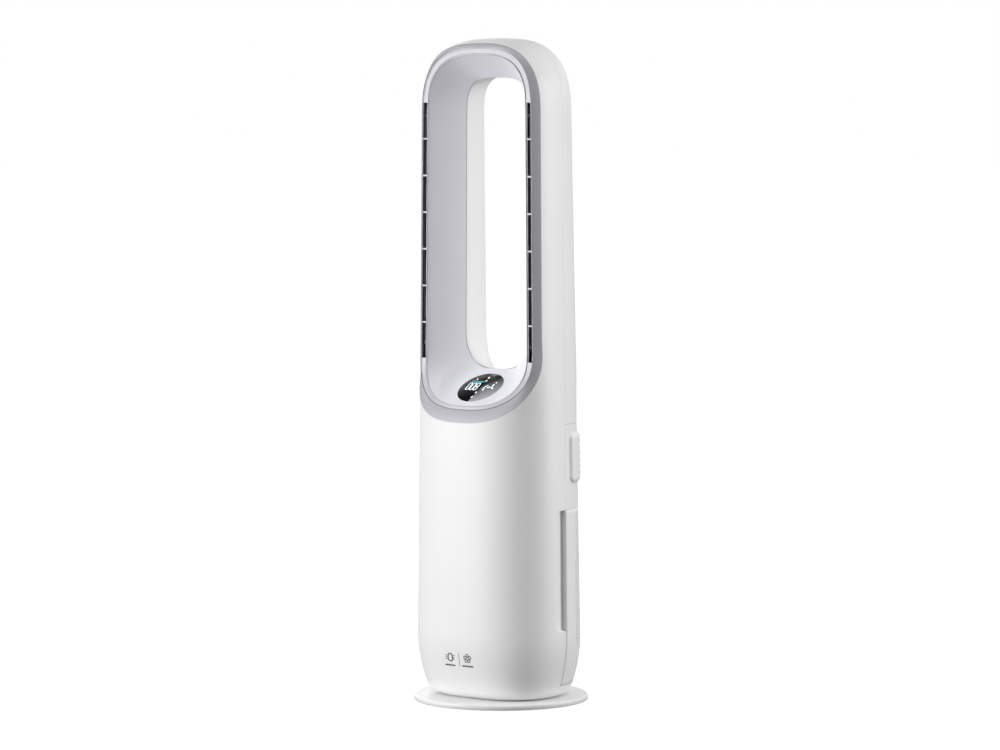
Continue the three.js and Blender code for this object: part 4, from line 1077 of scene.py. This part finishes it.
class FAN_OT_display(bpy.types.Operator):
    """Makes the round smoked window in the loop's floor and the marks that are lit under it"""

    bl_idname = "fan.display"
    bl_label = "Display"

    FIGURES = ((-23.6, 1), (-16, 1), (-8.4, 2))  # each one's place across, and its count of rings
    FIGURE_WIDTH, FIGURE_HEIGHT, FIGURE_RISE, STROKE, OVERLAP = 6.8, 20, 1.5, 1.45, 1.1
    DOTS = ((-19.6, 21, 1.2), (0.2, 18, 1.3), (-0.3, 26.5, 1.4), (22.7, 14, 1.1), (0.2, -14, 1.3))
    GAUGE_LENGTH, GAUGE_WIDTH, GAUGE_SAG, GAUGE_PLACE = 25, 3.4, 2.2, (-13.5, 14.6, 0)
    BLADE, FAN_PLACE = (2.6, 7.6, 20, 1.0, 4.4), (20, 2.5, 0)
    ARC_X, ARC_Y, ARC_START, ARC_STEP = 14, -1, 110, 13
    TRIANGLE = (0.4, -26.5, 4.6, 6.4, 0.9, 1.0, 3)
    LENS_BACK, LENS_SIDE, LENS_FACE, LENS_ROUND, GLOW_PROUD = -1.6, 0.1, 0.45, 0.35, 0.5

    def execute(self, context):
        self.lay("lens_display", self.window, smoked_acrylic, stands_for=["display_lens"])
        for name, draw, make in (
            ("figures_display", self.figures, white_light), ("gauge_display", self.gauge, gauge_light),
            ("marks_display", self.marks, white_light),
        ):
            self.lay(name, draw, make, self.GLOW_PROUD, wall=0.05)
        return {"FINISHED"}

    @staticmethod
    def lay(name, draw, make, proud=0, **settings):
        """Draws a piece flat and lays it on the floor's slope."""
        centre, tilt = display_place()
        bm = bmesh.new()
        draw(bm)
        bmesh.ops.translate(bm, vec=(0, 0, proud), verts=bm.verts)
        bmesh.ops.rotate(bm, cent=(0, 0, 0), matrix=tilt, verts=bm.verts)
        bmesh.ops.translate(bm, vec=centre, verts=bm.verts)
        piece(bm, name, worn(make), "tower", "smoked_lens", **settings)

    def window(self, bm):
        radius, middle = corners("display_lens")[1].x, 0.001
        outline = [(middle, self.LENS_BACK), (radius, self.LENS_BACK), (radius, self.LENS_SIDE)]
        outline += [(radius - self.LENS_ROUND, self.LENS_FACE), (middle, self.LENS_FACE)]
        spun(bm, outline, 128)

    def figures(self, bm):
        for x, rings in self.FIGURES:
            tall = (self.FIGURE_HEIGHT + self.OVERLAP * (rings - 1)) / rings
            for i in range(rings):
                y = self.FIGURE_RISE + (i - (rings - 1) / 2) * (tall - self.OVERLAP)
                flat_ring(bm, x, y, self.FIGURE_WIDTH, tall, self.STROKE, 0.55)

    def gauge(self, bm):
        """A bar whose ends turn up."""
        bmesh.ops.create_grid(bm, x_segments=12, y_segments=1, size=0.5)
        for vert in bm.verts:
            x, y = vert.co.x, vert.co.y
            sag = self.GAUGE_SAG * abs(x) ** 1.5
            vert.co = Vector((x * self.GAUGE_LENGTH, y * self.GAUGE_WIDTH + sag, 0))
        bmesh.ops.translate(bm, vec=self.GAUGE_PLACE, verts=bm.verts)

    def marks(self, bm):
        """Dots, a three-bladed fan, an arc and a small triangle."""
        for x, y, radius in self.DOTS:
            disc(bm, 2 * radius, 2 * radius * 1.7, 16, x, y)
        for turn in range(3):
            blade = disc(bm, *self.BLADE)
            third = Matrix.Rotation(turn * 2 * pi / 3, 3, "Z")
            bmesh.ops.rotate(bm, cent=(0, 0, 0), matrix=third, verts=blade)
            bmesh.ops.translate(bm, vec=self.FAN_PLACE, verts=blade)

        def arc(i, j):
            turn, across, tall = radians(self.ARC_START + self.ARC_STEP * i), 7.2 - 1.5 * j, 9 - 1.9 * j
            return Vector((self.ARC_X + across * cos(turn), self.ARC_Y + tall * sin(turn), 0))

        sheet(bm, 10, 1, arc)
        flat_ring(bm, *self.TRIANGLE)


class FAN_OT_pictograms(bpy.types.Operator):
    """Prints two plain pictograms with a thin line between them low on the front"""

    bl_idname = "fan.pictograms"
    bl_label = "Pictograms"

    # Each bar's place across, its height on the front, its width and how tall it is: two
    # captions and the line between them.
    BARS = ((-20.3, 64.4, 20.5, 2.4), (14.6, 64.8, 21.5, 2.4), (-1.4, 74.3, 1.0, 21.4))
    RING_PLACE, RING_WIDTH, RING_HEIGHT = (-19, 77), 10.5, 14
    PETALS, PETAL_PLACE, PETAL_OUT, PETAL_WIDTH = 5, (15, 77.3), 4.6, 6.2

    def execute(self, context):
        bm = bmesh.new()
        across, rise = self.RING_PLACE
        flat_ring(bm, across, rise, self.RING_WIDTH, self.RING_HEIGHT, 2.0, 0.8)
        for side, reach in ((-1, 4.6), (1, 3.4)):
            for step in (-3, 0, 3):
                self.bar(bm, across + side * (5.2 + reach / 2), rise + step, reach, 1.2)
        for bar in self.BARS:
            self.bar(bm, *bar)
        across, rise = self.PETAL_PLACE
        for turn in range(self.PETALS):
            angle = radians(90 + 72 * turn)
            x, y = across + self.PETAL_OUT * cos(angle), rise + self.PETAL_OUT * sin(angle)
            flat_ring(bm, x, y, self.PETAL_WIDTH, self.PETAL_WIDTH, 1.5)
        for vert in bm.verts:
            x, z = vert.co.x, vert.co.y
            vert.co = Vector((x, front_y(x, z) - 0.05, z))
        piece(bm, "print_pictograms", worn(pad_ink), "tower", "trim_grey", wall=0.04)
        return {"FINISHED"}

    @staticmethod
    def bar(bm, x, y, across, tall):
        made = bmesh.ops.create_grid(bm, x_segments=10, y_segments=2, size=0.5)["verts"]
        bmesh.ops.scale(bm, vec=(across, tall, 1), verts=made)
        bmesh.ops.translate(bm, vec=(x, y, 0), verts=made)


class FAN_OT_grip_liners(bpy.types.Operator):
    """Moulds the two walls that close the grip scoops behind the door's edge"""

    bl_idname = "fan.grip_liners"
    bl_label = "Grip Liners"

    # How far in from the column's side, and how far behind the joint.
    OUTLINE = (
        (12.4, -3.0), (11.8, -1.2), (10.6, 0.2), (9.0, 1.0), (7.2, 1.5), (5.4, 1.9), (3.8, 2.6),
        (3.2, 4.2), (3.1, 8.5),
    )

    def execute(self, context):
        for name, side in (("liner_right_grip", 1), ("liner_left_grip", -1)):
            bm = bmesh.new()
            beside(bm, side, self.OUTLINE, GRIP_LOW - 3, DOOR_TOP + 3)
            close_up(bm, (side, -0.5, 0))
            white_piece(bm, name, wall=1.2, edge=0.3)
        return {"FINISHED"}


class FAN_OT_seam_tongues(bpy.types.Operator):
    """Moulds the tongues that lap behind the joints between the front and the back"""

    bl_idname = "fan.seam_tongues"
    bl_label = "Seam Tongues"

    INSET, LAP = 2.9, 3

    def execute(self, context):
        bm = bmesh.new()
        outline = [(self.INSET, -4 + 2.4 * i) for i in range(5)]
        for low, high in ((28, GRIP_LOW - 3), (DOOR_TOP + 1, REAR_SEAM + 4)):
            for side in (1, -1):
                beside(bm, side, outline, low, high)
        angles = rear_angles()
        for height in (SKIRT_TOP, DOOR_TOP, REAR_SEAM):
            sheet(
                bm, len(angles) - 1, 2,
                lambda i, j: skin_point(angles[i], height - self.LAP + self.LAP * j, 1, -self.INSET),
            )
        bmesh.ops.recalc_face_normals(bm, faces=bm.faces)
        white_piece(bm, "tongues_shell", wall=0.8, edge=0)
        return {"FINISHED"}


class FAN_OT_throat_shadow_strip(bpy.types.Operator):
    """Lays a thin grey strip in the joint between the funnel and the rear loop shell, as a painted shadow of
    the joint
    """

    bl_idname = "fan.throat_gasket"
    bl_label = "Throat Gasket"

    SECTION = ((0.5, -0.66), (0.3, -0.4), (0.3, 0.4), (0.5, 0.66), (1.8, 0.66), (1.8, -0.66))

    def execute(self, context):
        bm = bmesh.new()
        lines_sheet(bm, [moved(loop_line(THROAT, out), y) for out, y in self.SECTION], tube=True)
        close_up(bm, (1, 0, 0))
        # The grey strip is a painted shadow: it darkens the joint as the joint's shadow would.
        piece(bm, "gasket_throat", worn(shadow_strip_grey), "tower", "trim_grey")
        return {"FINISHED"}


class FAN_OT_glide_ring(bpy.types.Operator):
    """Moulds the low ring under the heel that stands a hair above the foot"""

    bl_idname = "fan.glide_ring"
    bl_label = "Glide Ring"

    SECTION = ((2.2, 0.5), (2.2, -1.2), (2.7, -1.7), (8.0, -1.7), (8.0, 0.5))
    STEPS = 72

    def execute(self, context):
        turns = evenly(0, pi, self.STEPS)
        halves = [(turn, -1) for turn in turns[:-1]] + [(pi - turn, 1) for turn in turns[:-1]]
        bm = bmesh.new()
        lines_sheet(bm, [
            moved([skin_point(turn, TOWER_BOTTOM, facing, -inset) for turn, facing in halves], up=height)
            for inset, height in self.SECTION
        ], tube=True)
        close_up(bm, (1, 0, 0))
        white_piece(bm, "ring_glide", wall=0, edge=0.2)
        return {"FINISHED"}


class FAN_OT_base(bpy.types.Operator):
    """Turns the round white foot"""

    bl_idname = "fan.base"
    bl_label = "Round Foot"

    RIM_ROUND, UNDERSIDE_RADIUS, SKIN = 3.4, 134.3, 3

    def execute(self, context):
        low, high = corners("base_disc")
        radius, top, bottom = high.x, high.z, low.z
        outline = [(14, top - self.SKIN), (14, top - 0.3), (14.3, top), (60, top), (110, top)]
        outline += rounded(radius, top, -1, -1, self.RIM_ROUND, range(90, -1, -10))
        outline += [(radius, bottom + 0.6), (radius - 0.6, bottom)]
        outline += [(self.UNDERSIDE_RADIUS, bottom), (self.UNDERSIDE_RADIUS, top - self.SKIN)]
        bm = bmesh.new()
        spun(bm, outline, context.scene.fan_sizes.disc_steps)
        white_piece(bm, "disc_base", ["base_disc"], "base", wall=0, edge=0)
        return {"FINISHED"}


class FAN_OT_filter(bpy.types.Operator):
    """Folds the cartridge's paper and lays the beads of glue that hold its pleats apart"""

    bl_idname = "fan.filter"
    bl_label = "Filter Cartridge"

    PLEATS, PLEAT_DEPTH, BEADS = 96, 6.5, 5
    BEAD = ((-2, -0.9), (0, -0.7), (0.35, 0), (0, 0.7), (-2, 0.9))

    def execute(self, context):
        low, high = corners("filter_media")
        crest, bore = high.x - 0.4, high.x - 20
        around = 6 * self.PLEATS

        def fold(i, j):
            turn = 2 * pi * i / around
            share = abs((i % 6) - 3) / 3
            radius = crest - self.PLEAT_DEPTH * smooth(share)
            return Vector((radius * cos(turn), radius * sin(turn), mix(low.z, high.z, j / 8)))

        bm = bmesh.new()
        sheet(bm, around, 8, fold)
        close_up(bm, (1, 0, 0))
        piece(
            bm, "paper_filter", worn(filter_paper), "filter", "filter_paper", ["filter_media"],
            wall=crest - self.PLEAT_DEPTH - bore,
        )
        beads = bmesh.new()
        for z in evenly(low.z, high.z, self.BEADS + 1)[1:-1]:
            spun(beads, [(crest + out, z + up) for out, up in self.BEAD])
        piece(beads, "glue_beads", worn(nylon), "filter", "nylon")
        return {"FINISHED"}


class FAN_OT_soft_fittings(bpy.types.Operator):
    """Makes the cartridge's woven pull strap, the foam seal over it and the lead to the boards"""

    bl_idname = "fan.soft_fittings"
    bl_label = "Strap, Seal and Lead"

    WEB_COLUMNS, WEB_ROWS, WEB_PLACE, WEB_WAVE = 28, 40, 0.95, 0.1
    STRAP_CORNER, SELVEDGE, SELVEDGE_RISE = 5, 2.2, 0.2
    STITCH_HALF, UPRIGHT_HALF, THREAD_HALF = 0.9, 0.84, 0.27
    SEWN_TOP, SEWN_BOTTOM, SEWN_SIDE, SEWN_END = 9, 24, 10.4, 9
    SEAL_WIDTH, SEAL_CORNER = 16, 2.6
    LEAD_RADIUS = 2.5
    LEAD_ROUTE = (
        (56.8, 66, 28.5), (65, 49, 29.9), (73.7, 32.3, 31.2), (81.1, 15, 32.6), (84.1, -3.6, 33.7),
        (82, -22.3, 34.3), (76.3, -40.3, 34.7), (67, -56.7, 35.4), (52.6, -68.7, 35.8), (35.6, -76.9, 36.2),
        (18.4, -84.4, 38.6), (4.2, -93, 47.2), (-2.2, -97.1, 64), (-2, -97, 82.9), (-0.7, -96.1, 101.7),
        (0, -95.7, 120.6), (0, -95.7, 196.2), (0, -95.7, 271.9), (0, -95.7, 328.5),
    )

    def execute(self, context):
        self.strap()
        self.seal()
        self.lead()
        return {"FINISHED"}

    def strap(self):
        low, high = corners("filter_pull_tab")
        half, back = (high.x - low.x) / 2, low.y

        def web(i, j):
            z = mix(high.z, low.z, j / self.WEB_ROWS)
            into = max(0, self.STRAP_CORNER - (z - low.z))
            reach = half - self.STRAP_CORNER + sqrt(self.STRAP_CORNER**2 - into**2)
            x = mix(-reach, reach, i / self.WEB_COLUMNS)
            thicker = self.SELVEDGE_RISE * smooth((abs(x) - half + self.SELVEDGE) / 1.2)
            wave = self.WEB_WAVE * sin(2 * pi * j / self.WEB_ROWS)
            return Vector((x, back + self.WEB_PLACE + wave + thicker, z))

        bm = bmesh.new()
        sheet(bm, self.WEB_COLUMNS, self.WEB_ROWS, web)
        close_up(bm, (0, 1, 0))
        piece(bm, "strap_filter", worn(webbing), "filter", "rubber", ["filter_pull_tab"], 0.8, 0.2)
        threads = bmesh.new()
        top, bottom = high.z - self.SEWN_TOP, high.z - self.SEWN_BOTTOM
        thin, end, side = self.THREAD_HALF, self.SEWN_END, self.SEWN_SIDE
        rows = [(x, z, self.STITCH_HALF, thin) for x in evenly(-end, end, 7) for z in (top, bottom)]
        rows += [(x, z, thin, self.UPRIGHT_HALF) for z in evenly(top, bottom, 6) for x in (-side, side)]
        for x, z, wide, tall in rows:
            stitch = bmesh.ops.create_uvsphere(threads, u_segments=8, v_segments=6, radius=1)["verts"]
            bmesh.ops.scale(threads, vec=(wide, 0.25, tall), verts=stitch)
            bmesh.ops.translate(threads, vec=(x, back + 1.0, z), verts=stitch)
        piece(threads, "stitches_strap", worn(nylon), "filter", "nylon")

    def seal(self):
        low, high = corners("filter_seal")
        outer, inner, middle = high.x, high.x - self.SEAL_WIDTH, (low.z + high.z) / 2
        outline = [(inner + 0.4, high.z), (inner + 0.1, middle)]
        outline += rounded(inner, low.z, 1, 1, self.SEAL_CORNER, range(0, 91, 15))
        outline += rounded(outer, low.z, -1, 1, self.SEAL_CORNER, range(90, -1, -15))
        outline += [(outer - 0.1, middle), (outer - 0.4, high.z)]
        bm = bmesh.new()
        spun(bm, outline, 144)
        piece(bm, "seal_filter", worn(foam), "tower", "foam", ["filter_seal"])

    def lead(self):
        curve = bpy.data.curves.new("lead", "CURVE")
        curve.dimensions, curve.bevel_depth, curve.bevel_resolution = "3D", self.LEAD_RADIUS, 4
        curve.use_fill_caps, curve.resolution_u = True, 6
        spline = curve.splines.new("BEZIER")
        spline.bezier_points.add(len(self.LEAD_ROUTE) - 1)
        for knot, place in zip(spline.bezier_points, self.LEAD_ROUTE):
            knot.co = place
            knot.handle_left_type = knot.handle_right_type = "AUTO"
        carrier = bpy.data.objects.new("lead", curve)
        bpy.context.collection.objects.link(carrier)
        bpy.context.view_layer.update()
        made = bpy.data.meshes.new_from_object(carrier.evaluated_get(bpy.context.evaluated_depsgraph_get()))
        bm = bmesh.new()
        bm.from_mesh(made)
        bmesh.ops.remove_doubles(bm, verts=bm.verts, dist=0.01)
        bmesh.ops.recalc_face_normals(bm, faces=bm.faces)
        bpy.data.objects.remove(carrier)
        bpy.data.curves.remove(curve)
        bpy.data.meshes.remove(made)
        piece(bm, "lead_supply", worn(rubber), "tower", "rubber", ["supply_lead"])


INNER_FINISHES = {
    white_abs: ["base_plate", "tower_floor"],
    grey_abs: ["bay_floor", "fan_plate", "board_carrier", "inlet_cone"],
    black_abs: [
        "left_duct", "right_duct", "left_slot_vanes", "right_slot_vanes", "air_splitter", "display_tray",
        "fan_housing", "motor_can", "lead_inlet", "filter_bottom_cap", "filter_top_cap", "swivel_motor",
    ],
    nylon: ["thrust_washer", "swivel_gear", "drive_pinion", "impeller"],
    zinc_steel: [
        "base_screw_1", "base_screw_2", "base_screw_3", "pivot_hub", "hub_nut", "swivel_bracket",
        "lower_bearing", "upper_bearing", "motor_mount", "motor_rotor", "fan_shaft", "impeller_nut",
        "inlet_guard",
    ],
    cast_iron: ["ballast_ring"],
    rubber: ["foot_ring", "isolator_ring"],
    laminate: ["display_board", "main_board", "power_board", "air_sensor"],
    winding: ["motor_stator", "transformer"],
    woven_mesh: ["prefilter_screen"],
}


class FAN_OT_inner_parts(bpy.types.Operator):
    """Gives the pieces inside the fan their finishes"""

    bl_idname = "fan.inner_parts"
    bl_label = "Inner Parts"

    def execute(self, context):
        chosen = {name: make for make, names in INNER_FINISHES.items() for name in names}
        for name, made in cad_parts.items():
            if not made.hide_render:
                made.data.materials.clear()
                made.data.materials.append(worn(chosen[name]))
        return {"FINISHED"}


# ---- Stage --------------------------------------------------------------------------------


def white_sweep():
    """Matt white paper sweep, lit from below: the camera sees it blown out, as in a cut-out."""
    material = moulded("white_paper_sweep", linear("#747474"), 0.8, 8.0, 0.02, 0.995)
    material.node_tree.nodes["Principled BSDF"].inputs["Emission Color"].default_value = (1, 1, 1, 1)
    seen = add_node(material, "ShaderNodeLightPath").outputs["Is Camera Ray"]
    glow = {"Value": seen, "To Max": 0.95}
    add_node(material, "ShaderNodeMapRange", glow, {"Emission Strength": "Result"})
    return material


CAMERA_AZIMUTH = radians(37.434)
CAMERA_DISTANCE, CAMERA_HEIGHT, AIM_HEIGHT, AIM_ASIDE = 6.3592, 0.9373, 0.5173, -0.00167
FOCAL_PIXELS, PICTURE_PIXELS, SENSOR = 4019.5, 1000, 36
LIGHTS_AIM = Vector((0, 0, 0.5))
FLOOR_SIDES, FLOOR_RADIUS, FARTHEST_SEEN = 96, 60, 200
WORLD_LIGHT = 0.43

# Each softbox's name, azimuth from the front to the right, height, distance, width, height of
# its face and watts.
SOFTBOXES = (
    ("softbox_left", -32, 0.85, 2.8, 1.6, 1.8, 63),
    ("softbox_right", 124, 1.0, 2.8, 1.2, 2.0, 43),
    ("softbox_above", 90, 3.4, 1.1, 2.0, 2.0, 14),
    ("softbox_back", 232, 1.2, 2.8, 1.6, 1.8, 14),
)


def stand(name, data, azimuth, distance, height, aim):
    """Puts a lamp or a camera at an azimuth round the fan and turns it to its aim."""
    made = bpy.data.objects.new(name, data)
    made.location = (sin(azimuth) * distance, -cos(azimuth) * distance, height)
    made.rotation_euler = (aim - made.location).to_track_quat("-Z", "Y").to_euler()
    bpy.context.collection.objects.link(made)
    return made


class FAN_OT_stage(bpy.types.Operator):
    """Sets the pale floor, the soft light and the camera"""

    bl_idname = "fan.stage"
    bl_label = "Stage"

    def execute(self, context):
        scene = context.scene
        scene.view_settings.view_transform = "Standard"
        bm = bmesh.new()
        bmesh.ops.create_circle(bm, cap_ends=True, segments=FLOOR_SIDES, radius=FLOOR_RADIUS)
        mesh = bpy.data.meshes.new("floor")
        bm.to_mesh(mesh)
        bm.free()
        floor = bpy.data.objects.new("floor", mesh)
        context.collection.objects.link(floor)
        mesh.materials.append(white_sweep())
        world = scene.world = bpy.data.worlds.new("studio")
        world.use_nodes = True
        world.node_tree.nodes["Background"].inputs["Color"].default_value = (1, 1, 1, 1)
        seen = add_node(world, "ShaderNodeLightPath").outputs["Is Camera Ray"]
        level = {"Value": seen, "To Min": WORLD_LIGHT, "To Max": 1.0}
        add_node(world, "ShaderNodeMapRange", level, {"Strength": "Result"})
        for name, azimuth, height, distance, width, tall, watts in SOFTBOXES:
            lamp = bpy.data.lights.new(name, "AREA")
            lamp.shape, lamp.size, lamp.size_y, lamp.energy = "RECTANGLE", width, tall, watts
            stand(name, lamp, radians(azimuth), distance, height, LIGHTS_AIM)
        lens = bpy.data.cameras.new("camera")
        lens.sensor_width, lens.lens = SENSOR, FOCAL_PIXELS * SENSOR / PICTURE_PIXELS
        lens.clip_end = FARTHEST_SEEN
        a = CAMERA_AZIMUTH
        aim = Vector((cos(a) * AIM_ASIDE, sin(a) * AIM_ASIDE, AIM_HEIGHT))
        scene.camera = stand("camera", lens, a, CAMERA_DISTANCE, CAMERA_HEIGHT, aim)
        return {"FINISHED"}


class FAN_PT_panel(bpy.types.Panel):
    bl_label = "Bladeless Tower Fan"
    bl_idname = "FAN_PT_panel"
    bl_space_type = "VIEW_3D"
    bl_region_type = "UI"
    bl_category = "Tower Fan"

    def draw(self, context):
        layout = self.layout
        for settings in (context.scene.fan_sizes, context.scene.fan_colours):
            column = layout.column()
            for name in settings.__annotations__:
                column.prop(settings, name)
        for operator in OPERATORS:
            layout.operator(operator.bl_idname)


OPERATORS = (
    FAN_OT_front_shell,
    FAN_OT_grip_liners,
    FAN_OT_seam_tongues,
    FAN_OT_pictograms,
    FAN_OT_rear_loop_shell,
    FAN_OT_rear_panels,
    FAN_OT_vent_hood,
    FAN_OT_filter_door,
    FAN_OT_bezel,
    FAN_OT_outlet_ring,
    FAN_OT_funnel,
    FAN_OT_display,
    FAN_OT_throat_shadow_strip,
    FAN_OT_glide_ring,
    FAN_OT_base,
    FAN_OT_filter,
    FAN_OT_soft_fittings,
    FAN_OT_inner_parts,
    FAN_OT_stage,
)
CLASSES = (FanSizes, FanColours) + OPERATORS + (FAN_PT_panel,)


def register():
    for made in CLASSES:
        bpy.utils.register_class(made)
    bpy.types.Scene.fan_sizes = PointerProperty(type=FanSizes)
    bpy.types.Scene.fan_colours = PointerProperty(type=FanColours)


def unregister():
    del bpy.types.Scene.fan_colours
    del bpy.types.Scene.fan_sizes
    for made in reversed(CLASSES):
        bpy.utils.unregister_class(made)


def main():
    register()
    for operator in OPERATORS:
        getattr(bpy.ops.fan, operator.bl_idname.removeprefix("fan."))()


if __name__ == "__main__":
    main()
